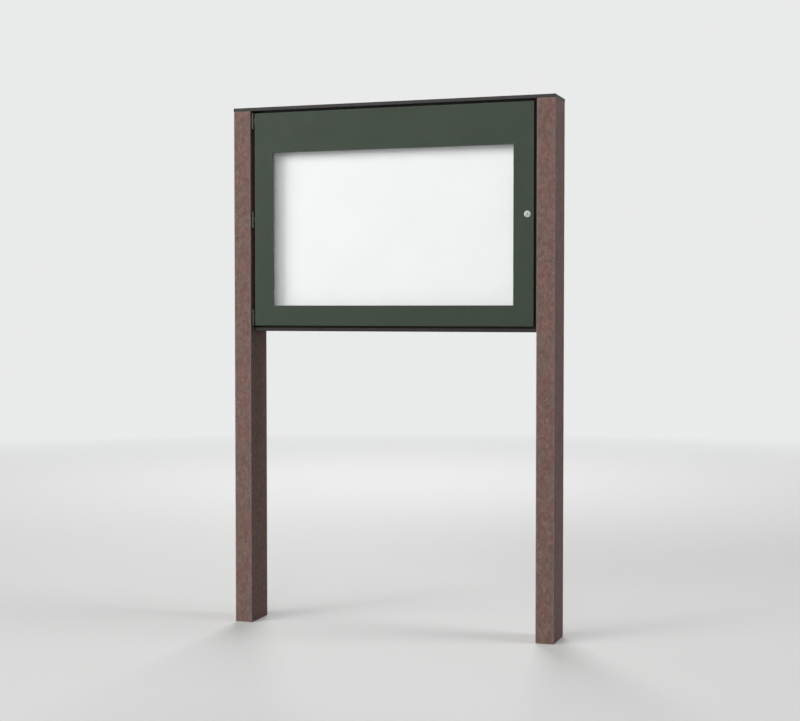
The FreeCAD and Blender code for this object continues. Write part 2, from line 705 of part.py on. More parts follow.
def make_hinges():
    third = "hinge_height / 3"
    bore = ("hinge_x", "hinge_y", "pin_radius + running_clearance")
    knuckle = ("hinge_x", "hinge_y", "knuckle_radius")
    for place, low in hinges.items():
        top = f"{low} + hinge_height"
        knuckle_low, knuckle_high = f"{low} + {third}", f"{low} + 2 * {third}"
        hole_heights = [f"{low} + {step}" for step in leaf_hole_steps]

        post_leaf = new_body(f"{place}_hinge_post_leaf")
        plate = rectangle("hinge_y", "leaf_back", low, top)
        pad(post_leaf, "YZ", "-post_inner", "-post_inner + leaf_thickness", plate)
        room = rectangle("hinge_y", "leaf_front",
                         f"{knuckle_low} - knuckle_gap", f"{knuckle_high} + knuckle_gap")
        pocket(post_leaf, "YZ", "-post_inner", "-post_inner + leaf_thickness", room)
        pad(post_leaf, "XY", low, f"{knuckle_low} - knuckle_gap", knuckle)
        pad(post_leaf, "XY", f"{knuckle_high} + knuckle_gap", top, knuckle)
        pocket(post_leaf, "XY", low, top, bore)
        holes = [("hinge_hole_y", z, "hinge_screw_shank + screw_clearance") for z in hole_heights]
        pocket(post_leaf, "YZ", "-post_inner", "-post_inner + leaf_thickness", *holes)
        at_face = rim(axis_x, "-post_inner + leaf_thickness", "hinge_screw_shank + screw_clearance")
        bevel_edges(post_leaf, "hinge_screw_head - hinge_screw_shank", at_face)

        door_leaf = new_body(f"{place}_hinge_door_leaf")
        leaf = rectangle("leaf_front", "leaf_back", low, top)
        pad(door_leaf, "YZ", "-(door_side + leaf_thickness)", "-door_side", leaf)
        crank = rectangle("hinge_x + knuckle_radius / 2", "-door_side",
                          "hinge_y + knuckle_radius / 2 - leaf_thickness / 2", "leaf_front + leaf_thickness")
        pad(door_leaf, "XY", knuckle_low, knuckle_high, crank)
        pad(door_leaf, "XY", knuckle_low, knuckle_high, knuckle)
        pocket(door_leaf, "XY", knuckle_low, knuckle_high, bore)
        holes = [("hinge_hole_y", z, "rivet_shank + screw_clearance") for z in hole_heights]
        pocket(door_leaf, "YZ", "-(door_side + leaf_thickness)", "-door_side", *holes)

        pin = new_body(f"{place}_hinge_pin")
        pad(pin, "XY", low, top, ("hinge_x", "hinge_y", "pin_radius"))
        pad(pin, "XY", f"{low} - pin_head_height", low, ("hinge_x", "hinge_y", "pin_head_radius"))
        pad(pin, "XY", top, f"{top} + pin_head_height", ("hinge_x", "hinge_y", "pin_head_radius"))


# The lock: body in the door, plug with its keyway, cam, and the keeper plate on the case

def make_lock():
    at_lock = ("lock_x", "lock_z")
    square = rectangle("lock_x - plug_square / 2", "lock_x + plug_square / 2",
                       "lock_z - plug_square / 2", "lock_z + plug_square / 2")
    housing = new_body("lock_body")
    pad(housing, "XZ", "lock_face", "door_front", (*at_lock, "lock_rim_radius"))
    pad(housing, "XZ", "door_front", "lock_back", (*at_lock, "lock_body_radius"))
    round_edges(housing, "lock_rim_edge", rim(axis_y, "lock_face", "lock_rim_radius"))
    pocket(housing, "XZ", "lock_face", "lock_back", (*at_lock, "plug_radius + running_clearance"))

    nut = new_body("lock_nut")
    bore = (*at_lock, "lock_body_radius + screw_clearance")
    flats = hexagon(*at_lock, "lock_nut_radius")
    pad(nut, "XZ", "door_sheet_back", "door_sheet_back + lock_nut_height", flats, bore)

    plug = new_body("lock_plug")
    pad(plug, "XZ", "lock_face + plug_recess", "lock_back", (*at_lock, "plug_radius"))
    pad(plug, "XZ", "lock_back", "cam_back - 2 * running_clearance", square)
    keyway = rectangle("lock_x - keyway_width / 2", "lock_x + keyway_width / 2",
                       "lock_z - keyway_length / 2", "lock_z + keyway_length / 2")
    pocket(plug, "XZ", "lock_face + plug_recess", "lock_face + plug_recess + keyway_depth", keyway)
    screw_hole = (*at_lock, "small_screw_shank + screw_clearance")
    pocket(plug, "XZ", "cam_back - small_screw_length - screw_clearance", "cam_back", screw_hole)

    cam = new_body("lock_cam")
    tip, heel = "lock_z - cam_length", "lock_z + cam_width / 2"
    outline = [
        ("lock_x - cam_width / 2", heel), ("lock_x - cam_width / 2", f"{tip} + cam_width / 4"),
        ("lock_x - cam_width / 4", tip), ("lock_x + cam_width / 4", tip),
        ("lock_x + cam_width / 2", f"{tip} + cam_width / 4"), ("lock_x + cam_width / 2", heel),
    ]
    half = "plug_square / 2 + running_clearance"
    hole = rectangle(f"lock_x - ({half})", f"lock_x + {half}", f"lock_z - ({half})", f"lock_z + {half}")
    pad(cam, "XZ", "cam_front", "cam_back", outline, hole)

    keeper = new_body("lock_keeper")
    plate = rectangle("stop_inner", "web_inner", "lock_z - keeper_height / 2", "lock_z + keeper_height / 2")
    pad(keeper, "XZ", "stop_back", "stop_back + keeper_thickness", plate)


# All the fasteners

def make_fasteners():
    cap_screw = flat_head_screw("cap_screw_master", "cap_screw")
    hinge_screw = flat_head_screw("hinge_screw_master", "hinge_screw")
    case_screw = round_head_screw("case_screw_master", "case_screw")
    small_screw = round_head_screw("small_screw_master", "small_screw")
    door_rivet = rivet("rivet_master", "leaf_thickness + door_sheet")
    placed_group("cap_screws", cap_screw, axis_z,
                 [(f"{side} * post_middle", y, "overall_height") for side, y in cap_screw_spots])
    for name, side in (("left_case_screws", -1), ("right_case_screws", 1)):
        spots = [(f"{side} * web_inner", "case_screw_offset", z) for z in case_screw_heights]
        placed_group(name, case_screw, axis_x * -side, spots)
    back_sides = ("-back_screw_x", "back_screw_x")
    on_back = [(x, "case_back", z) for x in back_sides for z in back_screw_heights]
    placed_group("back_screws", small_screw, axis_y, on_back)
    panel_sides = ("-panel_screw_x", "panel_screw_x")
    on_panel = [(x, "display_front", z) for x in panel_sides for z in panel_screw_heights]
    placed_group("panel_screws", small_screw, axis_y * -1, on_panel)
    placed_group("hinge_screws", hinge_screw, axis_x,
                 [("-post_inner + leaf_thickness", "hinge_hole_y", z) for z in hinge_hole_heights])
    placed_group("hinge_rivets", door_rivet, axis_x * -1,
                 [("-(door_side + leaf_thickness)", "hinge_hole_y", z) for z in hinge_hole_heights])
    placed_group("retainer_studs", plain_stud("stud_master"), axis_y,
                 [(x, "door_sheet_back", z) for x, z in stud_spots])
    placed_group("retainer_nuts", stud_nut("nut_master"), axis_y,
                 [(x, "door_sheet_back + retainer_sheet", z) for x, z in stud_spots])
    placed_group("cam_screw", small_screw, axis_y, [("lock_x", "cam_back", "lock_z")])


def check_document():
    """Stops if any object failed, or a piece is empty or not a valid solid."""
    for item in doc.Objects:
        if "Invalid" in item.State or "Error" in item.State:
            raise RuntimeError(f"{item.Label} failed: {item.State}")
    for name, item in pieces.items():
        if item.Shape.isNull() or not item.Shape.isValid() or not item.Shape.Solids:
            raise RuntimeError(f"{name} has no valid solid")


def write_pieces():
    os.makedirs("parts", exist_ok=True)
    for name, item in pieces.items():
        item.Shape.exportStep(os.path.join("parts", f"{name}.step"))


make_posts()
make_packers()
make_cap()
make_case_sides()
make_case_top()
make_case_bottom()
make_case_back()
make_seal()
make_display()
make_door()
make_glazing()
make_retainers()
make_hinges()
make_lock()
make_fasteners()
doc.recompute()
check_document()
write_pieces()
print(f"{len(pieces)} pieces written")
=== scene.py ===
import json
from math import pi, radians

import bpy
import numpy as np
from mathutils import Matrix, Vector


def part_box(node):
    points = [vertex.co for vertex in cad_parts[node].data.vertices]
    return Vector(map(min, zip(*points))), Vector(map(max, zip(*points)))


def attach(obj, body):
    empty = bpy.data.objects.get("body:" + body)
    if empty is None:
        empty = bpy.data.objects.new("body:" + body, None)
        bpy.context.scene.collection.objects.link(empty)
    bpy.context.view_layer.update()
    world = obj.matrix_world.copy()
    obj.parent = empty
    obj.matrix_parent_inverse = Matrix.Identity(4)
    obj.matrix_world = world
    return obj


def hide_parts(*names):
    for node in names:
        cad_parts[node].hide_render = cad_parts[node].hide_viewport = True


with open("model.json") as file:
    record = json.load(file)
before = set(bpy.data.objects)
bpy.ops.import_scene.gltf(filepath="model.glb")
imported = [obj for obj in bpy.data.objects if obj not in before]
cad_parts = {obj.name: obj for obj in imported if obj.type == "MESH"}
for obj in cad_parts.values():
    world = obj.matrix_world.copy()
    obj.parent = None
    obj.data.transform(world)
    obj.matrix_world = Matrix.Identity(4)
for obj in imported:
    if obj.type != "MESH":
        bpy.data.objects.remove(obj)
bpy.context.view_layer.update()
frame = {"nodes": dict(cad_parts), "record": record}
record = frame["record"]
slotOf = {part["node"]: part["material_slot"] for part in record["subparts"]}
bodyOf = {node: body for body, members in record["behaviour"]["bodies"].items() for node in members}
axisNumber = {"x": 0, "y": 1, "z": 2}
print("frame loaded,", len(bodyOf), "CAD nodes")


# Surfaces: a shape is worked out as arrays of points, in metres, and becomes one closed mesh

slack = {"reach": 1e-6, "level": 1e-5}  # how far off a line a point may lie and still count as on it


def cornersOf(node):
    # The lowest and the highest corner of the box round a CAD node
    low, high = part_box(node)
    return np.array(low), np.array(high)


def crossed(first, second):
    # Every place of the first list with every place of the second
    return np.stack(np.meshgrid(first, second, indexing="ij"), -1).reshape(-1, 2)


def placed(name, data):
    # A new object of the scene, at the origin
    piece = bpy.data.objects.new(name, data)
    bpy.context.scene.collection.objects.link(piece)
    return piece


def surfaceOf(points, quads, caps=(), edge=0.0):
    # Faces are turned round if the signed volume, summed over their triangles, is negative
    points, quads = np.asarray(points, float).reshape(-1, 3), np.asarray(quads, int).reshape(-1, 4)
    fans = [np.stack([np.full(len(lid) - 2, lid[0]), lid[1:-1], lid[2:]], -1) for lid in caps]
    triangles = np.concatenate([quads[:, :3], quads[:, [0, 2, 3]], *fans])
    first, second, third = (points[triangles[:, k]] for k in range(3))
    if np.einsum("ij,ij->", first, np.cross(second, third)) < 0:
        quads, caps = quads[:, ::-1], [lid[::-1] for lid in caps]
    return {"points": points, "quads": quads, "caps": list(caps),
            "edge": np.broadcast_to(edge, len(points)).astype(float)}


def joined(surfaces):
    # Several surfaces in one mesh: each one's point numbers are raised by the points before it
    starts = np.cumsum([0] + [len(surface["points"]) for surface in surfaces])
    return {
        "points": np.concatenate([surface["points"] for surface in surfaces]),
        "quads": np.concatenate([surface["quads"] + start for surface, start in zip(surfaces, starts)]),
        "caps": [lid + start for surface, start in zip(surfaces, starts) for lid in surface["caps"]],
        "edge": np.concatenate([surface["edge"] for surface in surfaces]),
    }


def makePiece(name, node, build, *values):
    # Points that no face uses are left out; the edge marks go with the mesh for the materials to read
    surface = build(node, *values)
    used = np.unique(np.concatenate([surface["quads"].ravel(), *surface["caps"]]))
    number = np.zeros(len(surface["points"]), int)
    number[used] = np.arange(len(used))
    faces = number[surface["quads"]].tolist() + [number[lid].tolist() for lid in surface["caps"]]
    mesh = bpy.data.meshes.new(name)
    mesh.from_pydata(surface["points"][used].tolist(), [], faces)
    mesh.polygons.foreach_set("use_smooth", np.ones(len(faces), bool))
    mesh.set_sharp_from_angle(angle=radians(35))
    mark = mesh.attributes.new("edge", "FLOAT", "POINT")  # 1 on folds and rims, 0 on flat ground
    mark.data.foreach_set("value", surface["edge"][used].astype(np.float32))
    mesh.materials.append(finishes[slotOf[node]])
    mesh.update()
    piece = placed(name, mesh)
    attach(piece, bodyOf[node])
    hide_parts(node)
    return piece


def lift(flat, level, axis):
    # Flat points get their third coordinate, the level along the axis
    return np.insert(np.asarray(flat, float), axisNumber[axis], level, axis=-1)


def rectangleLoop(low, high, radius, marks=((), ()), perCorner=3, smallest=0.0002):
    # Four quarter arcs joined by straight sides with a point at each mark: marks[0] across, marks[1] up
    radius = max(radius, smallest)
    (left, bottom), (right, top) = low, high
    acrossMarks, upMarks = (np.sort(np.asarray(given, float)) for given in marks)
    angles = np.linspace(0, pi / 2, perCorner + 1)
    parts = []
    corners = ((right, top, 0), (left, top, 1), (left, bottom, 2), (right, bottom, 3))
    for x, y, quarter in corners:
        centre = (x - radius if x == right else x + radius, y - radius if y == top else y + radius)
        turns = angles + quarter * pi / 2
        parts.append(np.array(centre) + radius * np.stack([np.cos(turns), np.sin(turns)], -1))
        side = (acrossMarks[::-1], upMarks[::-1], acrossMarks, upMarks)[quarter]
        fixed = np.full(len(side), (top, left, bottom, right)[quarter])
        parts.append(np.stack([side, fixed] if quarter % 2 == 0 else [fixed, side], -1))
    return np.concatenate(parts)


def cornerMarks(marks=((), ()), perCorner=3):
    # 1 on the arcs of a rectangle loop, 0 on the points of its sides
    counts = (len(marks[0]), len(marks[1])) * 2
    return np.concatenate([np.r_[np.ones(perCorner + 1), np.zeros(count)] for count in counts])


def loft(rows, edge=0.0, ring=False):
    # rows[i, j] is point j of loop i. Loops close on themselves; in a ring the last loop also joins the first
    loops, count = rows.shape[:2]
    index = np.arange(loops * count).reshape(loops, count)
    lower, upper = (index, np.roll(index, -1, 0)) if ring else (index[:-1], index[1:])
    quads = np.stack([lower, np.roll(lower, -1, 1), np.roll(upper, -1, 1), upper], -1)
    caps = () if ring else (index[0][::-1], index[-1])
    edge = np.asarray(edge, float)
    marks = np.broadcast_to(edge[:, None] if edge.ndim == 1 else edge, (loops, count))
    return surfaceOf(rows, quads, caps, marks.ravel())


def rayLoop(angles, size, shape="round"):
    # How far a ray from the middle goes at each angle: to a circle, a six-sided outline or a box
    ways = np.stack([np.cos(angles), np.sin(angles)], -1)
    if shape == "hex":
        reach = size * np.cos(pi / 6) / np.cos(angles % (pi / 3) - pi / 6)
    elif shape == "box":
        reach = (np.array(size) / np.maximum(np.abs(ways), 1e-9)).min(-1)  # never divided by zero
    else:
        reach = np.full(len(angles), size)
    return ways * reach[:, None]


facings = {"+x": ((0, 1, 0), (0, 0, 1), (1, 0, 0)), "-x": ((0, 1, 0), (0, 0, 1), (-1, 0, 0)),
           "+y": ((1, 0, 0), (0, 0, 1), (0, 1, 0)), "-y": ((1, 0, 0), (0, 0, 1), (0, -1, 0)),
           "+z": ((1, 0, 0), (0, 1, 0), (0, 0, 1))}


def turnedShape(rows, spot, facing, ring=False, angles=None):
    # Each row is a height along the facing direction, the size of its outline and its edge mark, and names
    # the outline where it isn't round
    angles = np.linspace(0, 2 * pi, 24, endpoint=False) if angles is None else angles
    loops = np.stack([lift(rayLoop(angles, size, *shape), height, "z")
                      for height, size, mark, *shape in rows])
    return loft(spot + loops @ np.array(facings[facing], float), np.array([row[2] for row in rows]), ring)


def fastened(name, node, rows, facing, spots, level, *shape):
    # The same rows turned at every spot of a flat face, which lies at one level, all in one piece
    makePiece(name, node, lambda _: joined([
        turnedShape(rows, place, facing, *shape) for place in lift(spots, level, facing[1])]))


def thread(start, stop, radius, pitch, depth):
    # Ridges one pitch apart: rows at full radius and at the root take turns
    count = int(round(abs(start - stop) / pitch))
    heights = np.linspace(start, stop, 2 * count + 1)
    return [(height, radius - depth * (k % 2), 0.6 * (1 - k % 2)) for k, height in enumerate(heights)]


def dome(height, radius, flat, steps=4):
    # A quarter of an ellipse from the rim, at height 0, to the edge of the flat top
    angles = np.linspace(0, pi / 2, steps + 1)
    return [(height * np.sin(a), flat + (radius - flat) * np.cos(a), 0.5) for a in angles]


def unevenness(points, size, seed, waves=24):
    # A smooth value from 0 to 1: a sum of sine waves about one size long in random directions
    dice = np.random.default_rng(seed)
    ways = dice.normal(size=(waves, 3))
    ways /= np.linalg.norm(ways, axis=1, keepdims=True)
    turns = ways.T * (2 * pi / (size * dice.uniform(0.6, 1.8, waves)))
    total = np.sin(points @ turns + dice.uniform(0, 2 * pi, waves)).sum(-1) / np.sqrt(waves)
    return np.clip(0.5 + total / 4, 0, 1)


# Folded sheet: a bent line is the middle of its section, and the sheet is a grid carried round it

def turned(direction, angle):
    # A flat direction after a turn: its parts mixed by the angle's cosine and sine
    cosine, sine, (x, y) = np.cos(angle), np.sin(angle), direction
    return np.array([cosine * x - sine * y, sine * x + cosine * y])


def bentLine(corners, radius, marks=None, curl=None, steps=4, margin=0.004):
    # Straight runs between the corners, joined by arcs of one radius. Points a margin away from each bend
    # keep its worn edge narrow, and each mark, a place on a run, gets a point. A curl is a last arc
    corners, marks = np.asarray(corners, float), marks or {}
    runs = np.diff(corners, axis=0)
    ways = runs / np.linalg.norm(runs, axis=1, keepdims=True)
    rows = [(corners[0], ways[0], 0.0)]

    def addArc(start, way, arcRadius, turn, count):
        # The centre lies one radius to the side of the start, and each point one radius from it
        centre = start + np.sign(turn) * arcRadius * turned(way, pi / 2)
        rows[-1] = (*rows[-1][:2], 1.0)
        for angle in turn * np.arange(1, count + 1) / count:
            tangent = turned(way, angle)
            rows.append((centre - np.sign(turn) * arcRadius * turned(tangent, pi / 2), tangent, 1.0))

    start = corners[0]
    for k, way in enumerate(ways):
        stop, turn = corners[k + 1], 0.0
        if k + 1 < len(ways):
            after = ways[k + 1]
            turn = np.arctan2(way[0] * after[1] - way[1] * after[0], way @ after)
            stop = stop - way * radius * np.tan(abs(turn) / 2)
        length = np.linalg.norm(stop - start)
        places = {length, margin, length - margin} if length > 3 * margin else {length}
        places |= {abs(mark - start[int(abs(way[1]) > 0.5)]) for mark in marks.get(k, ())}
        rows += [(start + way * place, way, 0.0) for place in sorted(places)]
        if turn:
            addArc(stop, way, radius, turn, steps)
            start = rows[-1][0]
    if curl:
        addArc(rows[-1][0], ways[-1], curl["radius"], curl["turn"], curl["steps"])
    return tuple(np.array([row[k] for row in rows]) for k in range(3))


def linesOf(low, high, marks=(), margin=0.004):
    # Grid lines at both ends, a margin inside them, and at every mark
    return np.array(sorted({low, low + margin, high - margin, high, *marks}))


def around(places, reach):
    # Five evenly spaced lines over each place, so that a square patch can be cut there
    return np.add.outer(np.atleast_1d(places), reach * np.linspace(-1, 1, 5)).ravel().tolist()


def foldedSheet(middle, normal, along, across, bend, sheet, keep):
    # The skins lie half a thickness to either side of the mid surface and are pulled in a little at the rim,
    # where rows of rim points join them, so that every cut edge is eased
    rows, columns = middle.shape[:2]
    padded = np.pad(keep, 1)
    used, lacking = np.zeros((rows, columns), bool), np.zeros((rows, columns), bool)
    pull = np.zeros((rows, columns, 2))
    for down in (0, 1):
        for right in (0, 1):
            there = padded[down:down + rows, right:right + columns]
            used |= there
            lacking |= ~there
            pull += ~there[..., None] * np.array([2 * down - 1, 2 * right - 1])
    rim = used & lacking
    pull = np.sign(pull) * rim[..., None]
    half, ease = sheet["thickness"] / 2, sheet["ease"]
    inwards = ease * (pull[..., :1] * along + pull[..., 1:] * across)
    layers = [middle + normal * half - inwards, middle - normal * half - inwards,
              middle + normal * (half - ease), middle - normal * (half - ease)]
    marks = [np.maximum(rim, bend)] * 2 + [np.ones((rows, columns))] * 2
    index = np.arange(rows * columns).reshape(rows, columns)
    layer = rows * columns
    i, j = np.nonzero(keep)
    cell = np.stack([index[i, j], index[i + 1, j], index[i + 1, j + 1], index[i, j + 1]], -1)
    quads = [cell, cell[:, ::-1] + layer]
    for side, (down, right) in enumerate(((0, -1), (1, 0), (0, 1), (-1, 0))):
        bare = ~padded[i + 1 + down, j + 1 + right]
        start, stop = cell[bare, side], cell[bare, (side + 1) % 4]
        for upper, lower in ((0, 2), (2, 3), (3, 1)):
            quads.append(np.stack([stop + upper * layer, start + upper * layer,
                                   start + lower * layer, stop + lower * layer], -1))
    points = np.concatenate([part.reshape(-1, 3) for part in layers])
    return surfaceOf(points, np.concatenate(quads), (), np.concatenate([mark.ravel() for mark in marks]))


def sweptSheet(corners, axis, node, sheet, marks=None, lines=(), keep=None, curl=None):
    # A bent line carried along one axis, as far as the node goes. keep tells from the middle of a cell
    # whether sheet is there
    flat, tangent, bend = bentLine(corners, sheet["bend"], marks, curl)
    levels = linesOf(*(corner[axisNumber[axis]] for corner in cornersOf(node)), lines)
    middle = np.stack([lift(flat, level, axis) for level in levels], 1)
    normal = lift(np.stack([-tangent[:, 1], tangent[:, 0]], -1), 0, axis)[:, None] + 0 * middle
    along = lift(tangent, 0, axis)[:, None] + 0 * middle
    across = np.eye(3)[axisNumber[axis]] + 0 * middle
    centres = (middle[1:, 1:] + middle[:-1, :-1]) / 2
    kept = keep(centres) if keep else np.ones(centres.shape[:2], bool)
    return foldedSheet(middle, normal, along, across, bend[:, None] + 0 * middle[..., 0], sheet, kept)


def punched(surface, spots, axis, reach, rings):
    # A hole at each spot: the faces of a square patch go, and quads join its rim on the first skin, through
    # circles of the given levels and radii, to its rim on the other skin
    number = axisNumber[axis]
    points, quads, edge = surface["points"], surface["quads"], surface["edge"]
    low, high = sorted((rings[0][0], rings[-1][0]))
    for spot in spots:
        offset = np.delete(points, number, 1) - spot
        spread, levels = np.abs(offset).max(1), points[:, number]
        between = (levels > low - slack["level"]) & (levels < high + slack["level"])
        near = (spread < reach + slack["reach"]) & between
        rims = []
        for level in (rings[0][0], rings[-1][0]):
            onSkin = np.abs(levels - level) < slack["level"]
            rim = np.nonzero(near & (spread > reach - slack["reach"]) & onSkin)[0]
            rims.append(rim[np.argsort(np.arctan2(offset[rim, 1], offset[rim, 0]))])
        angles = np.arctan2(offset[rims[0], 1], offset[rims[0], 0])
        circles = [lift(spot + rayLoop(angles, radius), level, axis) for level, radius in rings]
        numbers = len(points) + np.arange(len(rings) * len(angles)).reshape(len(rings), -1)
        loops = np.stack([rims[0], *numbers, rims[1]])
        points = np.concatenate([points, *circles])
        edge = np.concatenate([edge, np.ones(len(rings) * len(angles))])
        patch = np.stack([loops[:-1], np.roll(loops[:-1], -1, 1), np.roll(loops[1:], -1, 1), loops[1:]], -1)
        patch = patch.reshape(-1, 4)
        first, second, third = points[patch[0, :3]]
        if np.cross(second - first, third - first)[number] * (rings[0][0] - rings[-1][0]) < 0:
            patch = patch[:, ::-1]
        quads = np.concatenate([quads[~near[quads].all(1)], patch])
    return {"points": points, "quads": quads, "caps": surface["caps"], "edge": edge}


def drilled(surface, spots, axis, reach, radius, start, stop):
    # Straight round holes from the skin at one level to the skin at the other
    return punched(surface, spots, axis, reach, [(start, radius), (stop, radius)])


# Materials: shared effects are node groups, and every material keeps its own shader

def addNode(tree, kind, inputs=None, **settings):
    # A new shader node. An input that comes as a socket is linked, and any other is set
    node = tree.nodes.new("ShaderNode" + kind)
    for name, value in settings.items():
        setattr(node, name, value)
    for name, value in (inputs or {}).items():
        if isinstance(value, bpy.types.NodeSocket):
            tree.links.new(value, node.inputs[name])
        else:
            node.inputs[name].default_value = value
    return node


def colour(red, green, blue):
    # A screen colour of 0 to 255 becomes the linear one that the shader wants
    share = np.array([red, green, blue]) / 255
    linear = np.where(share <= 0.04045, share / 12.92, ((share + 0.055) / 1.055) ** 2.4)
    return (*linear.tolist(), 1.0)


def ranged(tree, value, low, high, start=0.0, stop=1.0):
    # Low where the value is at start or before it, high from stop on, and in proportion between them
    return addNode(tree, "MapRange", {
        "Value": value, "From Min": start, "From Max": stop, "To Min": low, "To Max": high}).outputs[0]


def combined(tree, operation, first, second):
    # Two values go through one operation of the maths node
    return addNode(tree, "Math", {0: first, 1: second}, operation=operation).outputs[0]


def covered(tree, base, mask, above):
    # The colour above, laid over the base by the mask
    return addNode(tree, "Mix", {0: mask, 6: base, 7: above}, data_type="RGBA").outputs[2]


def markOf(tree, name):
    # A mark that the mesh carries on its points
    return addNode(tree, "Attribute", attribute_name=name).outputs["Fac"]


def mixShaders(tree, mask, first, second):
    # The surface goes from the first shader to the second by the mask
    mix = addNode(tree, "MixShader", {0: mask, 1: first.outputs[0], 2: second.outputs[0]})
    tree.links.new(mix.outputs[0], tree.nodes["Material Output"].inputs["Surface"])


def newGroup(name, **inputs):
    # A group that takes a place and further inputs, each with its usual value, and puts out one value
    group = bpy.data.node_groups.new(name, "ShaderNodeTree")
    kinds = {float: "NodeSocketFloat", tuple: "NodeSocketVector"}
    for label, value in {"Vector": (0.0, 0.0, 0.0), **inputs}.items():
        socket = group.interface.new_socket(name=label, in_out="INPUT", socket_type=kinds[type(value)])
        socket.default_value = value
    group.interface.new_socket(name="Value", in_out="OUTPUT", socket_type="NodeSocketFloat")
    return group, group.nodes.new("NodeGroupInput").outputs, group.nodes.new("NodeGroupOutput").inputs[0]


def textured(group, kind, given, **more):
    # A texture with features of the given size in metres, drawn out along each axis where that is given
    place = given["Vector"]
    if "Stretch" in given:
        place = addNode(group, "VectorMath", {0: place, 1: given["Stretch"]}, operation="DIVIDE").outputs[0]
    scale = combined(group, "DIVIDE", 1.0, given["Size"])
    return addNode(group, kind, {"Vector": place, "Scale": scale, **more}).outputs


masks = {"fleck": (0.5, 0.2), "edgeShare": 0.4, "worn": (0.72, 0.98), "upward": (0.2, 0.95),
         "dusty": (0.3, 1.0, 0.3, 0.7), "most": (0.3, 0.7)}


def makeGrainGroup():
    # Noise with features of one size
    group, given, result = newGroup("grain", Size=0.01, Detail=2.0, Stretch=(1.0, 1.0, 1.0))
    group.links.new(textured(group, "TexNoise", given, Detail=given["Detail"], Roughness=0.55)[0], result)
    return group


def makeFleckGroup():
    # Soft flecks: how near a point is to the middle of its cell, in the share of the cells that chance picks
    group, given, result = newGroup("flecks", Size=0.004, Share=0.3, Stretch=(1.0, 1.0, 1.0))
    cells = textured(group, "TexVoronoi", given)
    near = ranged(group, cells["Distance"], 0.0, 1.0, *masks["fleck"])
    chance = addNode(group, "SeparateColor", {"Color": cells["Color"]}).outputs[0]
    picked = combined(group, "LESS_THAN", chance, given["Share"])
    group.links.new(combined(group, "MULTIPLY", near, picked), result)
    return group


def makeWearAndSheenGroup():
    # Where a fold or rim is scuffed, and on paint also a painted highlight along the folds: its edge mark,
    # broken up by noise
    group, given, result = newGroup("edgeWear", Size=0.012, Amount=0.5)
    share = combined(group, "MULTIPLY", markOf(group, "edge"), masks["edgeShare"])
    total = combined(group, "ADD", share, textured(group, "TexNoise", given, Detail=4.0)[0])
    rubbedAndSheen = ranged(group, total, 0.0, 1.0, *masks["worn"])
    group.links.new(combined(group, "MULTIPLY", rubbedAndSheen, given["Amount"]), result)
    return group


def makeDustGroup():
    # Dust lies in patches where the surface faces up
    group, given, result = newGroup("dust", Size=0.05, Amount=0.3)
    normal = addNode(group, "NewGeometry").outputs["Normal"]
    rise = addNode(group, "SeparateXYZ", {0: normal}).outputs[2]
    patch = ranged(group, textured(group, "TexNoise", given, Detail=5.0)[0], *masks["dusty"])
    lying = combined(group, "MULTIPLY", ranged(group, rise, 0.0, 1.0, *masks["upward"]), patch)
    group.links.new(combined(group, "MULTIPLY", lying, given["Amount"]), result)
    return group


effects = {"grain": makeGrainGroup(), "flecks": makeFleckGroup(), "wear": makeWearAndSheenGroup(),
           "dust": makeDustGroup()}


def newMaterial(name, sockets):
    # A finish with its own shader. Numbers that are the same all over are set on the shader's sockets
    material = bpy.data.materials.new(name)
    material.use_nodes = True
    tree = material.node_tree
    shader = tree.nodes["Principled BSDF"]
    for label, value in sockets.items():
        shader.inputs[label].default_value = value
    place = addNode(tree, "TexCoord").outputs["Object"]

    def effect(kind, *values):
        # One of the shared effects, with the place on the piece and its other inputs in their order
        group = addNode(tree, "Group", node_tree=effects[kind])
        tree.links.new(place, group.inputs[0])
        for number, value in enumerate(values, start=1):
            group.inputs[number].default_value = value
        return group.outputs[0]

    return material, tree, shader, effect


def makeFinish(name, sockets, base, noises, layers, roughness, bumps):
    # Each layer of colour has a noise, how much it covers at most, and the range of the noise over which it
    # grows from nothing. Roughness runs from low to high over most of a noise. A bump is a noise and its
    # depth in metres, laid on the bump before it. A noise without values is a mark of the mesh
    material, tree, shader, effect = newMaterial(name, sockets)
    maps = {label: effect(*values) if values else markOf(tree, label) for label, values in noises.items()}
    base = colour(*base)
    for label, most, start, stop, above in layers:
        base = covered(tree, base, ranged(tree, maps[label], 0, most, start, stop), colour(*above))
    tree.links.new(base, shader.inputs["Base Color"])
    label, low, high = roughness
    tree.links.new(ranged(tree, maps[label], low, high, *masks["most"]), shader.inputs["Roughness"])
    below = {}
    for label, depth in bumps:
        inputs = {"Height": maps[label], "Distance": abs(depth), "Strength": 1.0, **below}
        below = {"Normal": addNode(tree, "Bump", inputs, invert=depth < 0).outputs[0]}
    tree.links.new(below["Normal"], shader.inputs["Normal"])
    return material


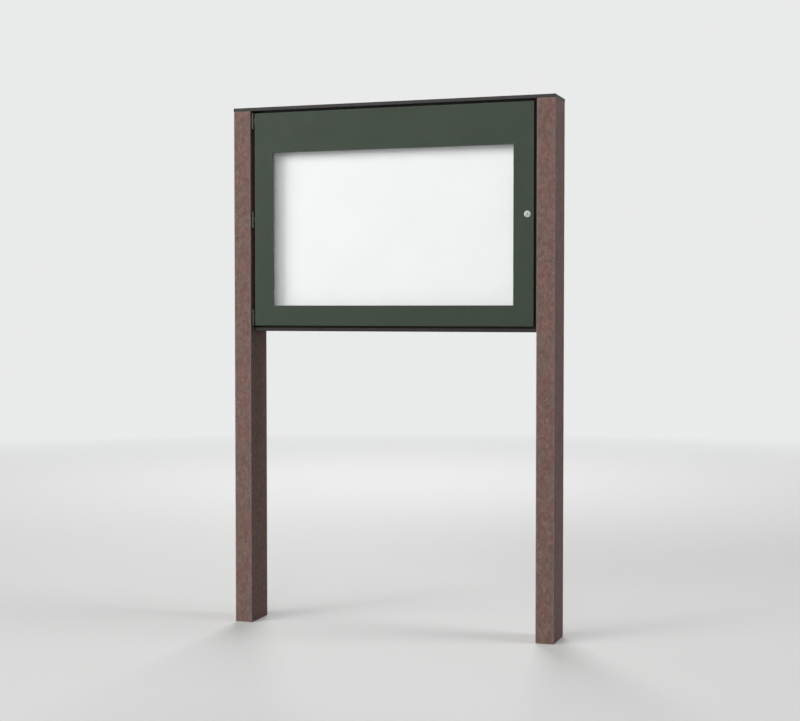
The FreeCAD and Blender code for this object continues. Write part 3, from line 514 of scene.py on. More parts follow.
def plasticLook(red, grey, dark, light, paleEdge, upright=(1.0, 1.0, 1.7)):
    # Recycled plastic: two browns in drawn-out patches, dark and light flecks, paler edges, a grainy skin
    return {
        "sockets": {"Specular IOR Level": 0.18}, "base": red,
        "noises": {"patch": ("grain", 0.03, 6.0, upright), "smudge": ("grain", 0.01, 4.0, upright),
                   "fleck": ("flecks", 0.006, 0.3, upright), "paleFleck": ("flecks", 0.0078, 0.24, upright),
                   "skin": ("grain", 0.0014, 3.0), "edge": (), "dust": ("dust", 0.04, 0.3),
                   "pit": ("flecks", 0.003, 0.15)},
        "layers": [("patch", 1, 0.36, 0.64, grey), ("smudge", 0.4, 0.5, 0.72, dark),
                   ("smudge", 0.4, 0.5, 0.28, light), ("fleck", 0.4, 0, 1, dark),
                   ("paleFleck", 0.42, 0, 1, light), ("skin", 0.3, 0.5, 0.75, dark),
                   ("edge", 0.5, 0, 1, paleEdge), ("dust", 1, 0, 1, light)],
        "roughness": ("patch", 0.55, 0.75),
        "bumps": [("smudge", 0.0004), ("skin", 0.00012), ("pit", -0.00015)]}


def paintLook(base, worn, dusty, roughness):
    # Powder coat: an orange-peel skin in a colour that varies a little, thinner and paler on the folds, where
    # the paler colour is partly scuffing and partly a painted highlight, with dust
    return {
        "sockets": {"Specular IOR Level": 0.15}, "base": base,
        "noises": {"cloud": ("grain", 0.15, 4.0), "speck": ("flecks", 0.0011, 0.3),
                   "wear": ("wear", 0.014, 0.5), "dust": ("dust", 0.06, 0.25),
                   "smear": ("grain", 0.05, 5.0), "peel": ("grain", 0.0016, 2.0)},
        "layers": [("cloud", 0.14, 0.35, 0.65, worn), ("speck", 0.2, 0, 1, worn), ("wear", 1, 0, 1, worn),
                   ("dust", 1, 0, 1, dusty)],
        "roughness": ("smear", roughness - 0.05, roughness + 0.08),
        "bumps": [("peel", 0.00009), ("cloud", 0.0004)]}


def smoothLook(base, second, size, roughness, depth, shine=0.4):
    # A plain coat or moulding of two near colours in clouds, with a fine skin
    return {
        "sockets": {"Specular IOR Level": shine}, "base": base,
        "noises": {"cloud": ("grain", size, 5.0), "wear": ("wear", size, 0.3),
                   "skin": ("grain", 0.0012, 2.0)},
        "layers": [("cloud", 0.6, 0.4, 0.7, second), ("wear", 1, 0, 1, second)],
        "roughness": ("cloud", roughness - 0.08, roughness + 0.1), "bumps": [("skin", depth)]}


def metalLook(bright, dull, roughness, drawn=(1.0, 1.0, 1.0), crystal=None):
    # Bare or plated metal: rolled one way, duller in patches, with zinc crystals where it is galvanised
    look = {
        "sockets": {"Metallic": 1.0}, "base": bright,
        "noises": {"brush": ("grain", 0.0012, 4.0, drawn), "patch": ("grain", 0.025, 5.0),
                   "wear": ("wear", 0.006, 0.5)},
        "layers": [("patch", 0.8, 0.4, 0.7, dull), ("wear", 1, 0, 1, bright)],
        "roughness": ("brush", roughness - 0.08, roughness + 0.12), "bumps": [("brush", 0.00003)]}
    if crystal:
        look["noises"]["crystal"] = ("flecks", crystal, 0.5)
        look["layers"].insert(1, ("crystal", 0.55, 0, 1, dull))
        look["bumps"].append(("crystal", 0.00002))
    return look


pane = {"glass": (0.97, 0.985, 0.98, 1), "clear": (0.985, 0.992, 0.988, 1), "index": 1.5,
        "smear": (0.07, 6.0, (3.0, 1.0, 1.0)), "roughness": (0.0, 0.05, 0.5, 0.8), "ease": 0.0006,
        "radius": 0.003}


def makePane(name):
    # Clear glass with faint smears that only roughen it. Light of lamps and panel goes straight through
    material, tree, shader, effect = newMaterial(name, {
        "Base Color": pane["glass"], "Transmission Weight": 1.0, "IOR": pane["index"], "Metallic": 0.0})
    smear = ranged(tree, effect("grain", *pane["smear"]), *pane["roughness"])
    tree.links.new(smear, shader.inputs["Roughness"])
    clear = addNode(tree, "BsdfTransparent", {"Color": pane["clear"]})
    path = addNode(tree, "LightPath").outputs
    through = combined(tree, "MAXIMUM", path["Is Shadow Ray"], path["Is Diffuse Ray"])
    mixShaders(tree, through, shader, clear)
    return material


looks = {
    "recycled_plastic": ("recycledPlastic", plasticLook(
        (116, 84, 78), (110, 92, 85), (76, 55, 50), (146, 120, 112), (133, 118, 111))),
    "black_plastic": ("packerPlastic", smoothLook((40, 40, 41), (66, 65, 64), 0.02, 0.55, 0.00005)),
    # The second colour of each paint also paints a highlight along its folds
    "dark_paint": ("darkPaint", paintLook((46, 44, 43), (67, 65, 63), (90, 87, 81), 0.5)),
    "green_paint": ("greenPaint", paintLook((52, 62, 51), (71, 81, 70), (94, 96, 86), 0.45)),
    "white_panel": ("panelWhite", smoothLook(
        (247, 247, 246), (241, 242, 242), 0.18, 0.45, 0.00002, 0.3)),
    "rubber": ("sealRubber", smoothLook((28, 28, 28), (58, 58, 56), 0.03, 0.7, 0.00006, 0.3)),
    "galvanised_steel": ("galvanisedSteel", metalLook(
        (186, 190, 192), (140, 145, 149), 0.42, (1.0, 1.0, 6.0), 0.009)),
    # Stainless steel is painted far darker than bare steel: a painted dark reflection of the brown posts next
    # to the hinges
    "stainless_steel": ("stainlessSteel", metalLook(
        (75, 73, 70), (57, 55, 53), 0.45, (1.0, 1.0, 18.0))),
    "screw_steel": ("zincSteel", metalLook((196, 198, 198), (150, 152, 156), 0.3)),
    "lock_metal": ("lockNickel", metalLook((158, 161, 153), (120, 123, 116), 0.32)),
}
finishes = {slot: makeFinish(name, **look) for slot, (name, look) in looks.items()}
finishes["pane"] = makePane("paneGlass")
for node, cadPiece in frame["nodes"].items():
    cadPiece.data.materials.clear()
    cadPiece.data.materials.append(finishes[slotOf[node]])
print("finishes made:", len(finishes))


# Posts

post = {"edgeRadius": 0.003, "cornerSteps": 5, "step": 0.005, "bevel": 0.0015, "relief": 0.0003,
        "reliefSize": 0.045, "boreRadius": 0.011, "boreDepth": 0.2, "boreBevel": 0.001}


def postSurface(node, seed):
    # Loops of one rounded rectangle at rising levels, each point drawn in a little by smooth noise. Below,
    # loops run in over the foot and up the bore
    low, high = cornersOf(node)
    step, bevel, bore = post["step"], post["bevel"], post["boreRadius"]
    marks = [np.arange(low[k] + step, high[k] - step / 2, step) for k in (0, 1)]
    outer, inset = (rectangleLoop(low[:2] + cut, high[:2] - cut, post["edgeRadius"] - cut / 2, marks,
                                  post["cornerSteps"]) for cut in (0, bevel))
    middle = (low[:2] + high[:2]) / 2
    ways = (outer - middle) / np.linalg.norm(outer - middle, axis=1, keepdims=True)
    outward = (np.roll(outer, -1, 0) - np.roll(outer, 1, 0))[:, ::-1] * (1, -1)
    outward /= np.linalg.norm(outward, axis=1, keepdims=True)
    levels = np.linspace(low[2] + bevel, high[2] - bevel, int((high[2] - low[2]) / step))
    side = np.stack([lift(outer, level, "z") for level in levels])
    relief = post["relief"] * unevenness(side, post["reliefSize"], seed)
    side -= lift(outward, 0, "z") * relief[..., None]
    foot = [lift(middle + ways * bore, low[2] + post["boreDepth"], "z"),
            lift(middle + ways * bore, low[2] + post["boreBevel"], "z"),
            lift(middle + ways * (bore + post["boreBevel"]), low[2], "z"),
            lift(inset, low[2], "z")]
    rows = np.concatenate([foot, side, [lift(inset, high[2], "z")]])
    edge = np.tile(cornerMarks(marks, post["cornerSteps"]), (len(rows), 1))
    edge[[1, 2, 3, 4, -2, -1]] = 1
    return loft(rows, edge)


for seed, side in enumerate(("left", "right"), start=11):
    makePiece(f"{side}_post_moulding", f"{side}_post", postSurface, seed)
print("posts made")


# Cap: a tray folded from one sheet, its corners left open

cap = {"thickness": 0.002, "ease": 0.0003, "bend": 0.002, "steps": 5, "relief": 0.004,
       "shank": 0.0026, "head": 0.0043, "screwSpread": 0.09, "patch": 0.007}
postLow, postHigh = cornersOf("right_post")
screwX, screwY = (postLow[0] + postHigh[0]) / 2, cap["screwSpread"] / 2
capSpots = crossed((-screwX, screwX), (-screwY, screwY))


def foldedHalves(reach, drop, marks):
    # From the middle along the top, round the bend and down the side, with its mirror image before it
    half = cap["thickness"] / 2
    corners = [(0, 0), (reach - half, 0), (reach - half, half - drop)]
    flat, way, bend = bentLine(corners, cap["bend"], {0: marks}, None, cap["steps"])
    length = np.r_[0, np.cumsum(np.linalg.norm(np.diff(flat, axis=0), axis=1))]
    return (np.concatenate([flat[:0:-1] * (-1, 1), flat]), np.concatenate([way[:0:-1] * (1, -1), way]),
            np.concatenate([bend[:0:-1], bend]), np.concatenate([-length[:0:-1], length]))


def capSurface(node):
    # One grid: x follows the fold over the ends, y the fold over front and back. Beyond the open corners the
    # end flaps run straight across to the front and back faces
    low, high = cornersOf(node)
    half, drop = cap["thickness"] / 2, high[2] - low[2]
    notchX, notchY = high[0] - 2 * half - cap["relief"], high[1] - cap["relief"]
    flatX, wayX, bendX, lengthX = foldedHalves(high[0], drop, [notchX, *around(screwX, cap["patch"])])
    flatY, wayY, bendY, lengthY = foldedHalves(high[1], drop, [notchY, *around(screwY, cap["patch"])])
    atEnd = (np.abs(lengthX) > notchX + slack["reach"])[:, None]
    straight = np.clip(lengthY, -high[1], high[1])
    middle = np.stack(np.broadcast_arrays(
        flatX[:, :1], np.where(atEnd, straight, flatY[:, 0]),
        high[2] - half + flatX[:, 1:] + np.where(atEnd, 0, flatY[:, 1])), -1)
    along = lift(wayX, 0, "y")[:, None] + 0 * middle
    across = np.where(atEnd[..., None], (0, 1, 0), lift(wayY, 0, "x"))
    bend = np.where(atEnd, bendX[:, None], bendY)
    cellX, cellY = (np.abs(length[1:] + length[:-1]) / 2 for length in (lengthX, lengthY))
    foldX = high[0] - half - cap["bend"]
    cellX, cellY = cellX[:, None], cellY[None, :]
    keep = (cellX < notchX) | (cellY < notchY) | ((cellX > foldX) & (cellY < high[1]))
    tray = foldedSheet(middle, np.cross(along, across), along, across, bend, cap, keep)
    rings = [(high[2], cap["head"]), (high[2] - cap["head"] + cap["shank"], cap["shank"]),
             (high[2] - cap["thickness"], cap["shank"])]
    return punched(tray, capSpots, "z", cap["patch"], rings)


makePiece("cap_tray", "top_cap", capSurface)
print("cap made")


# Case: channels on the posts, top, bottom with its rail, stop and back, all of bent sheet

case = {"thickness": 0.002, "ease": 0.0003, "bend": 0.002, "patch": 0.006, "smallPatch": 0.004, "lip": 0.022,
        "webHole": 0.0031, "smallHole": 0.0021, "screwOffset": 0.03, "screwInset": 0.06, "backInset": 0.05}
sides = ((-1, "left"), (1, "right"))
sheetHalf = case["thickness"] / 2
sideLow, sideHigh = cornersOf("case_right_side")
webHeights = np.linspace(sideLow[2] + case["screwInset"], sideHigh[2] - case["screwInset"], 4)
backHeights = np.linspace(sideLow[2] + case["backInset"], sideHigh[2] - case["backInset"], 4)
backX = (sideLow[0] + sideHigh[0]) / 2
webSpots, backSpots = crossed([case["screwOffset"]], webHeights), crossed((-backX, backX), backHeights)


def skinsOf(node):
    # The corners of a bent piece, and the same corners half a sheet further in, where its middle lies
    low, high = cornersOf(node)
    return low, high, low + sheetHalf, high - sheetHalf


def channelSurface(node, side):
    # The section runs from the door's stop round the web on the post to the flange that holds the back
    low, high, near, far = skinsOf(node)
    inner, outer = sorted((low[0], high[0]), key=abs)
    web, front, back = outer - side * sheetHalf, near[1], far[1]
    marks = {1: around(case["screwOffset"], case["patch"]), 2: around(side * backX, case["smallPatch"])}
    lines = around(webHeights, case["patch"]) + around(backHeights, case["smallPatch"])
    corners = [(inner, front), (web, front), (web, back), (inner, back)]
    sheet = sweptSheet(corners, "z", node, case, marks, lines)
    sheet = drilled(sheet, webSpots, "x", case["patch"], case["webHole"],
                    outer, outer - side * case["thickness"])
    return drilled(sheet, crossed([side * backX], backHeights), "y", case["smallPatch"], case["smallHole"],
                   high[1], high[1] - case["thickness"])


for side, name in sides:
    makePiece(f"{name}_case_channel", f"case_{name}_side", channelSurface, side)


def caseTopSurface(node):
    # Folded down in front as a stop and behind as a lip; both flaps are narrower than the top
    low, high, near, far = skinsOf(node)
    front, back, top, width = near[1], far[1], far[2], abs(sideLow[0])
    corners = [(front, low[2]), (front, top), (back, top), (back, high[2] - case["lip"])]

    def keep(cell):
        # Between the case's sides, or on the top itself
        return (np.abs(cell[..., 0]) < width) | (cell[..., 2] > top - slack["level"])

    return sweptSheet(corners, "x", node, case, lines=(-width, width), keep=keep)


def caseBottomSurface(node):
    # The rail in front, the bottom, and a flange behind
    low, high, near, far = skinsOf(node)
    front, back, top = near[1], far[1], far[2]
    return sweptSheet([(front, low[2]), (front, top), (back, top), (back, low[2])], "x", node, case)


def bottomStopSurface(node):
    # An L section: the stop behind the door's lower edge, and its foot on the case's bottom
    low, high, near, far = skinsOf(node)
    return sweptSheet([(near[1], high[2]), (near[1], near[2]), (high[1], near[2])], "x", node, case)


def flatSheetSurface(node, spots, hole, patch):
    # A flat plate with a hole at each spot
    low, high = cornersOf(node)
    plate = {"thickness": high[1] - low[1], "ease": case["ease"], "bend": 0}
    middle = (low[1] + high[1]) / 2
    sheet = sweptSheet([(low[0], middle), (high[0], middle)], "z", node, plate,
                       {0: around(np.unique(spots[:, 0]), patch)}, around(np.unique(spots[:, 1]), patch))
    return drilled(sheet, spots, "y", patch, hole, low[1], high[1])


makePiece("case_top_sheet", "case_top", caseTopSurface)
bottomSheet = makePiece("case_bottom_sheet", "case_bottom", caseBottomSurface)
# The rail's darker paint is a painted shade under the door's lower edge
bottomSheet.data.materials[0] = makeFinish("railPaint", **paintLook(  # the rail is darker than the cap
    (33, 30, 28), (50, 47, 44), (74, 71, 66), 0.5))
makePiece("lower_stop_strip", "bottom_stop", bottomStopSurface)
makePiece("case_back_sheet", "case_back", flatSheetSurface, backSpots, case["smallHole"], case["smallPatch"])
print("case made")


# Display: a white panel on two angles and a channel

display = {"thickness": 0.002, "ease": 0.0003, "bend": 0.002, "hole": 0.0021, "patch": 0.004}
angleLow, angleHigh = cornersOf("right_panel_angle")
panelX = (angleLow[0] + angleHigh[0]) / 2
panelHeights = np.linspace(backHeights[0], backHeights[-1], 3)
panelSpots = crossed((-panelX, panelX), panelHeights)


def angleSurface(node, side):
    # One leg behind the panel and one against the case side
    low, high, near, far = skinsOf(node)
    inner, outer = sorted((low[0], high[0]), key=abs)
    web, front = outer - side * sheetHalf, near[1]
    sheet = sweptSheet([(inner, front), (web, front), (web, high[1])], "z", node, display,
                       {0: around(side * panelX, display["patch"])}, around(panelHeights, display["patch"]))
    return drilled(sheet, crossed([side * panelX], panelHeights), "y", display["patch"], display["hole"],
                   low[1], low[1] + display["thickness"])


def stiffenerSurface(node):
    # A channel open to the right: a flange behind the panel, a web, and a flange on the case's back
    low, high, near, far = skinsOf(node)
    web, front, back = near[0], near[1], far[1]
    return sweptSheet([(high[0], front), (web, front), (web, back), (high[0], back)], "z", node, display)


makePiece("display_sheet", "display_panel", flatSheetSurface, panelSpots, display["hole"], display["patch"])
for side, name in sides:
    makePiece(f"{name}_angle_strip", f"{name}_panel_angle", angleSurface, side)
makePiece("stiffener_channel", "panel_stiffener", stiffenerSurface)
print("display made")


# Door: a folded pan with a window, its pane, gasket, seal and retainers

door = {"thickness": 0.002, "ease": 0.0003, "frontBend": 0.0025, "backBend": 0.002, "lip": 0.014,
        "margin": 0.004, "innerRadius": 0.0005, "glassLap": 0.02, "lockHole": 0.0096, "lockPatch": 0.0132}
joints = {joint["name"]: np.array(joint["pos_m"]) for joint in record["behaviour"]["joints"]}
hingeAt, lockAt = joints["door_swing"], joints["lock_turn"]
doorFront = cornersOf("door_frame")[0][1]
sheetBack = doorFront + door["thickness"]
glassLow, glassHigh = cornersOf("glazing")
plane = [0, 2]  # x and z, the plane of the door
windowLow, windowHigh = glassLow[plane] + door["glassLap"], glassHigh[plane] - door["glassLap"]
lockLines = np.array(around(lockAt[0], door["lockPatch"]))


def framedSurface(rows, marks=((), ()), perCorner=3, ring=True):
    # Rows of low corner, high corner, corner radius, depth and edge mark, each a loop square to the depth
    loops = [lift(rectangleLoop(low, high, radius, marks, perCorner), depth, "y")
             for low, high, radius, depth, mark in rows]
    return loft(np.stack(loops), np.array([row[4] for row in rows], float), ring)


def easedRows(low, high, start, stop, radius, ease):
    # A rectangle from one depth to the other, smaller by the ease at both ends. Round an opening the ease is
    # negative, and the rectangle is larger there
    step = abs(ease) * np.sign(stop - start)
    cuts = ((ease, start), (0, start + step), (0, stop - step), (ease, stop))
    return [(low + cut, high - cut, radius, depth, 1) for cut, depth in cuts]


def doorSurface(node):
    # Loops from the window's edge over the front, round the bend, along the side to the lip behind and back
    # through the inside. Loops through the lock's place keep its patch square
    low, high = cornersOf(node)
    front, back, low, high = low[1], high[1], low[plane], high[plane]
    thickness, ease, lip, margin = door["thickness"], door["ease"], door["lip"], door["margin"]
    bend, backBend, sharp = door["frontBend"], door["backBend"], door["innerRadius"]
    quarter = np.linspace(0, pi / 2, 5)

    def inset(cut, depth, mark):
        # A loop that much inside the door's outline
        return (low + cut, high - cut, max(bend - cut, sharp), depth, mark)

    def between(x, depth, mark):
        # A loop between window and outline, its right side at x
        share = (x - windowHigh[0]) / (high[0] - windowHigh[0])
        lower, upper = windowLow + (low - windowLow) * share, windowHigh + (high - windowHigh) * share
        return (lower, upper, sharp, depth, mark)

    def window(grow, depth, mark):
        # A loop that much outside the window
        return (windowLow - grow, windowHigh + grow, sharp, depth, mark)

    rows = [window(0, front + thickness - ease, 1), window(0, front + ease, 1), window(ease, front, 1)]
    rows += [window(margin, front, 0), *[between(x, front, 0) for x in lockLines]]
    rows += [inset(bend + margin, front, 0)]
    rows += [inset(bend - bend * np.sin(a), front + bend - bend * np.cos(a), 1) for a in quarter]
    rows += [inset(0, front + bend + margin, 0), inset(0, back - backBend - margin, 0)]
    rows += [inset(backBend - backBend * np.cos(a), back - backBend + backBend * np.sin(a), 1)
             for a in quarter]
    rows += [inset(lip - ease, back, 1), inset(lip, back - ease, 1), inset(lip, back - thickness + ease, 1),
             inset(lip - ease, back - thickness, 1), inset(thickness + ease, back - thickness, 0),
             inset(thickness, back - thickness - ease, 0), inset(thickness, front + thickness + ease, 0),
             inset(thickness + ease, front + thickness, 0)]
    inside = [window(ease, front + thickness, 1), window(margin, front + thickness, 0)]
    inside += [between(x, front + thickness, 0) for x in lockLines]
    pan = framedSurface(rows + inside[::-1], ((), around(lockAt[2], door["lockPatch"])))
    return drilled(pan, [lockAt[plane]], "y", door["lockPatch"], door["lockHole"], front, front + thickness)


def slabSurface(node, look):
    # A plate with rounded corners and eased edges
    low, high = cornersOf(node)
    rows = easedRows(low[plane], high[plane], low[1], high[1], look["radius"], look["ease"])
    return framedSurface(rows, perCorner=5, ring=False)


gasket = {"inset": 0.001, "ease": 0.0003, "radius": 0.002, "innerRadius": 0.0005}


def gasketSurface(node):
    # A flat strip round the window, a little back from its edge
    low, high = cornersOf(node)
    innerLow, innerHigh = windowLow - gasket["inset"], windowHigh + gasket["inset"]
    rows = easedRows(low[plane], high[plane], low[1], high[1], gasket["radius"], gasket["ease"])
    rows += easedRows(innerLow, innerHigh, high[1], low[1], gasket["innerRadius"], -gasket["ease"])
    return framedSurface(rows)


seal = {"width": 0.01, "radius": 0.003, "section": (  # two soft lobes, as shares of width and height
    (0, 0), (0, 0.4), (0.1, 0.78), (0.25, 1), (0.38, 0.86), (0.45, 0.55), (0.55, 0.55), (0.62, 0.86),
    (0.75, 1), (0.9, 0.78), (1, 0.4), (1, 0))}


def sealSurface(node):
    # The section, across and outward, goes round the stops
    low, high = cornersOf(node)
    height, width = high[1] - low[1], seal["width"]
    rows = [(low[plane] + across * width, high[plane] - across * width, seal["radius"],
             high[1] - outward * height, 0) for across, outward in seal["section"]]
    return framedSurface(rows)


makePiece("door_pan", "door_frame", doorSurface)
makePiece("pane_sheet", "glazing", slabSurface, pane)
makePiece("pane_gasket", "glazing_gasket", gasketSurface)
makePiece("stop_seal", "door_seal", sealSurface)

retainer = {"thickness": 0.0015, "ease": 0.0002, "bend": 0.0015, "lap": 0.014, "gap": 0.001,
            "studLine": 0.0095, "columns": 0.9, "rows": (0.25, 0.75), "hole": 0.0021, "patch": 0.004}
studColumns = np.linspace(-retainer["columns"], retainer["columns"], 4) * glassHigh[0]
studHeights = glassLow[2] + np.array(retainer["rows"]) * (glassHigh[2] - glassLow[2])


def retainerSurface(node, lying, outward):
    # A Z section: a foot over the pane, a web past its edge and a foot on the door sheet
    low, high = cornersOf(node)
    number, axis = (2, "x") if lying else (0, "z")
    lap, toe = (low[number], high[number]) if outward > 0 else (high[number], low[number])
    middle = retainer["thickness"] / 2
    web = lap + outward * (retainer["lap"] + retainer["gap"] + middle)
    hole = lap + outward * (retainer["lap"] + retainer["studLine"])
    corners = np.array([(lap, high[1] - middle), (web, high[1] - middle), (web, low[1] + middle),
                        (toe, low[1] + middle)])
    along = studColumns if lying else studHeights
    sheet = sweptSheet(corners[:, ::-1] if lying else corners, axis, node, retainer,
                       {2: around(hole, retainer["patch"])}, around(along, retainer["patch"]))
    spots = [(place, hole) if lying else (hole, place) for place in along]
    return drilled(sheet, spots, "y", retainer["patch"], retainer["hole"],
                   low[1], low[1] + retainer["thickness"])


for name, *way in (("lower", True, -1), ("upper", True, 1), ("left", False, -1), ("right", False, 1)):
    makePiece(f"{name}_retainer_strip", f"{name}_retainer", retainerSurface, *way)
print("door made")


# Hinges: each leaf is one plate whose knuckles curl round the pin

hinge = {"thickness": 0.002, "ease": 0.0002, "bend": 0.0015,
         "curl": {"radius": 0.004, "turn": 5.3, "steps": 14}, "gap": 0.0003, "leafFront": 0.0056,
         "holeSpread": 0.04, "hole": 0.0021, "head": 0.0037, "landing": 0.0004, "patch": 0.0048}
hingePlaces = ("lower", "middle", "upper")


def leafHoles(node):
    # How far back and at which heights a leaf has its two holes
    low, high = cornersOf(node)
    heights = (low[2] + high[2]) / 2 + np.array([-0.5, 0.5]) * hinge["holeSpread"]
    return (hingeAt[1] + hinge["leafFront"] + high[1]) / 2, heights


def leafSurface(node, onPost):
    # A flat plate, straight into the curl on the post, cranked towards the pin on the door. Where the other
    # leaf has its knuckle, the plate stops short
    low, high = cornersOf(node)
    middle, radius = hinge["thickness"] / 2, hinge["curl"]["radius"]
    third = (high[2] - low[2]) / 3
    first, last = low[2] + third, high[2] - third
    leafFront = hingeAt[1] + hinge["leafFront"]
    holeY, holeHeights = leafHoles(node)
    if onPost:
        plate, gap = low[0] + middle, hinge["gap"]
        corners = [(plate, high[1]), (plate, hingeAt[1])]
        lines = (first - gap, last + gap)
    else:
        plate = high[0] - middle
        corners = [(plate, high[1]), (plate, hingeAt[1] + radius), (hingeAt[0], hingeAt[1] + radius)]
        lines = (first, last)

    def keep(cell):
        # All of the plate, and the knuckles where this leaf has them
        inMiddle = (cell[..., 2] > lines[0]) & (cell[..., 2] < lines[1])
        return (cell[..., 1] > leafFront) | (inMiddle != onPost)

    sheet = sweptSheet(corners, "z", node, hinge, {0: [leafFront, *around(holeY, hinge["patch"])]},
                       [*lines, *around(holeHeights, hinge["patch"])], keep, hinge["curl"])
    rim, back = hinge["head"] if onPost else hinge["hole"], plate - middle
    rings = [(plate + middle, rim), (back + hinge["landing"], hinge["hole"]), (back, hinge["hole"])]
    return punched(sheet, crossed(holeY, holeHeights), "x", hinge["patch"], rings)


pin = {"radius": 0.0025, "head": 0.0036, "flat": 0.00126, "rim": 0.0012}


def pinSurface(node):
    # A turned pin with a domed head at each end
    low, high = cornersOf(node)
    length, rim = high[2] - low[2], pin["rim"]
    head = dome(rim, pin["head"], pin["flat"])
    rows = [(length - rim + height, *rest) for height, *rest in head[::-1]]
    rows += [(length - rim, pin["radius"], 0), (rim, pin["radius"], 0)]
    rows += [(rim - height, *rest) for height, *rest in head]
    return turnedShape(rows, np.array([hingeAt[0], hingeAt[1], low[2]]), "+z")


for place in hingePlaces:
    for leaf in ("post", "door"):
        makePiece(f"{place}_{leaf}_leaf_plate", f"{place}_hinge_{leaf}_leaf", leafSurface, leaf == "post")
    makePiece(f"{place}_turned_pin", f"{place}_hinge_pin", pinSurface)
print("hinges made")


# Lock: body with its round face and thread, nut, plug with a keyway, cam, and the keeper plate on the case

lock = {"rim": 0.0125, "rimHeight": 0.0025, "rimEdge": 0.0012, "body": 0.0095, "bore": 0.00705, "plug": 0.007,
        "flat": 0.0012, "ease": 0.0003, "seat": 0.0002, "tail": 0.0006, "threadGap": 0.0025,
        "threadEnd": 0.0015, "keyway": (0.0009, 0.0045), "keywayDepth": 0.012, "keywayEdge": 0.0002,
        "square": 0.004}
cam = {"radius": 0.0069, "ease": 0.0003, "holeRadius": 0.0003, "play": 0.00005}
keeper = {"ease": 0.0003, "radius": 0.002}
ringNut = {"height": 0.005, "radius": 0.0135, "bore": lock["body"]}
lockSpot = np.array([lockAt[0], doorFront, lockAt[2]])  # on the door's front
fineAngles = np.linspace(0, 2 * pi, 48, endpoint=False)


def lockBodySurface(node):
    # Turned rows: up the bore, over the face, round its edge, along the threaded body and in at the back
    back = lockSpot[1] - cornersOf(node)[1][1]
    rim, height, edge, bore, body = (lock[key] for key in ("rim", "rimHeight", "rimEdge", "bore", "body"))
    ease, seat = lock["ease"], lock["seat"]
    rows = [(height - ease, bore, 1), (height, bore + ease, 1), (height, bore + lock["flat"], 0)]
    rows += [(height - edge + edge * np.cos(a), rim - edge + edge * np.sin(a), 1)
             for a in np.linspace(0, pi / 2, 6)]
    rows += [(seat, rim, 1), (0, rim - seat, 0), (0, body, 0)]
    rows += thread(-lock["threadGap"], back + lock["threadEnd"], body, pitch=0.001, depth=0.00035)
    rows += [(back, body - lock["tail"], 1), (back, bore + ease, 1), (back + ease, bore, 0)]
    return turnedShape(rows, lockSpot, "-y", True, fineAngles)


def plugSurface(node):
    # From the bottom of the keyway out over the face, back along the barrel and down to the square end
    low, high = cornersOf(node)
    face, back, end = lockSpot[1] - low[1], lockSpot[1] - cornersOf("lock_body")[1][1], lockSpot[1] - high[1]
    slot, barrel, square = np.array(lock["keyway"]), lock["plug"], np.full(2, lock["square"])
    ease, slotEdge = lock["ease"], lock["keywayEdge"]
    slotCorner = np.arctan2(slot[1], slot[0])
    slotAngles = [slotCorner, pi - slotCorner, pi + slotCorner, 2 * pi - slotCorner]
    angles = np.sort(np.concatenate([np.linspace(0, 2 * pi, 40, endpoint=False), slotAngles]))
    rows = [(face - lock["keywayDepth"], slot, 0, "box"), (face - slotEdge, slot, 1, "box"),
            (face, slot + slotEdge, 1, "box"), (face, barrel - lock["flat"], 0), (face, barrel - ease, 1),
            (face - ease, barrel, 1), (back, barrel, 0), (back, square, 1, "box"),
            (end + ease, square, 1, "box"), (end, square - ease, 1, "box")]
    return turnedShape(rows, lockSpot, "-y", False, angles)


def nutRows(height, radius, bore, chamfer=0.12, pull=0.99):
    # Six sides between two round chamfers, and the bore inside
    apothem = radius * np.cos(pi / 6)
    return [(0, apothem, 1), (chamfer * height, radius * pull, 0.6, "hex"),
            ((1 - chamfer) * height, radius * pull, 0.6, "hex"), (height, apothem, 1), (height, bore, 1),
            (0, bore, 0)]


def camSurface(node):
    # A plate with round ends and a square hole for the plug
    low, high = cornersOf(node)
    hole = lock["square"] + cam["play"]
    rows = easedRows(low[plane], high[plane], low[1], high[1], cam["radius"], cam["ease"])
    rows += [(lockAt[plane] - hole, lockAt[plane] + hole, cam["holeRadius"], depth, 1)
             for depth in (high[1], low[1])]
    return framedSurface(rows, perCorner=8)


makePiece("lock_barrel", "lock_body", lockBodySurface)
makePiece("keyed_plug", "lock_plug", plugSurface)
fastened("lock_ring_nut", "lock_nut", nutRows(**ringNut), "+y", [lockAt[plane]], sheetBack, True, fineAngles)
makePiece("cam_plate", "lock_cam", camSurface)
makePiece("keeper_plate", "lock_keeper", slabSurface, keeper)
print("lock made")


# Fasteners: turned rows, copied to each place

screws = {
    "cap": {"head": 0.0042, "shank": 0.0025, "length": 0.06},
    "leaf": {"head": 0.0036, "shank": 0.002, "length": 0.035},
    "channel": {"head": 0.006, "height": 0.0035, "shank": 0.003, "length": 0.055},
    "small": {"head": 0.004, "height": 0.0024, "shank": 0.002, "length": 0.009},
}
rivet = {"head": 0.0038, "height": 0.0014, "shank": 0.002, "grip": 0.004, "tail": 0.003}
stud = {"radius": 0.002, "length": 0.008, "point": 0.0005}
studNut = {"height": 0.0032, "radius": 0.004, "bore": 0.0021}


def flatScrewRows(head, shank, length, sunk=0.0002, ease=0.0001, band=0.0003, runOut=0.003):
    # A six-sided recess in a flush cone, then a threaded shank and its point
    recess = 0.6 * shank
    rows = [(-recess, 0.55 * shank, 0, "hex"), (-sunk - ease, 0.6 * shank, 1, "hex"),
            (-sunk, 0.65 * shank, 1, "hex"), (-sunk, 0.85 * head, 0), (-sunk - ease, head, 1),
            (-sunk - ease - band, head, 1), (shank - head, shank, 0)]
    rows += thread(shank - head - runOut, 2 * shank - length, shank - ease, pitch=0.0016, depth=0.0004)
    return rows + [(-length, 0.15 * shank, 0.5)]


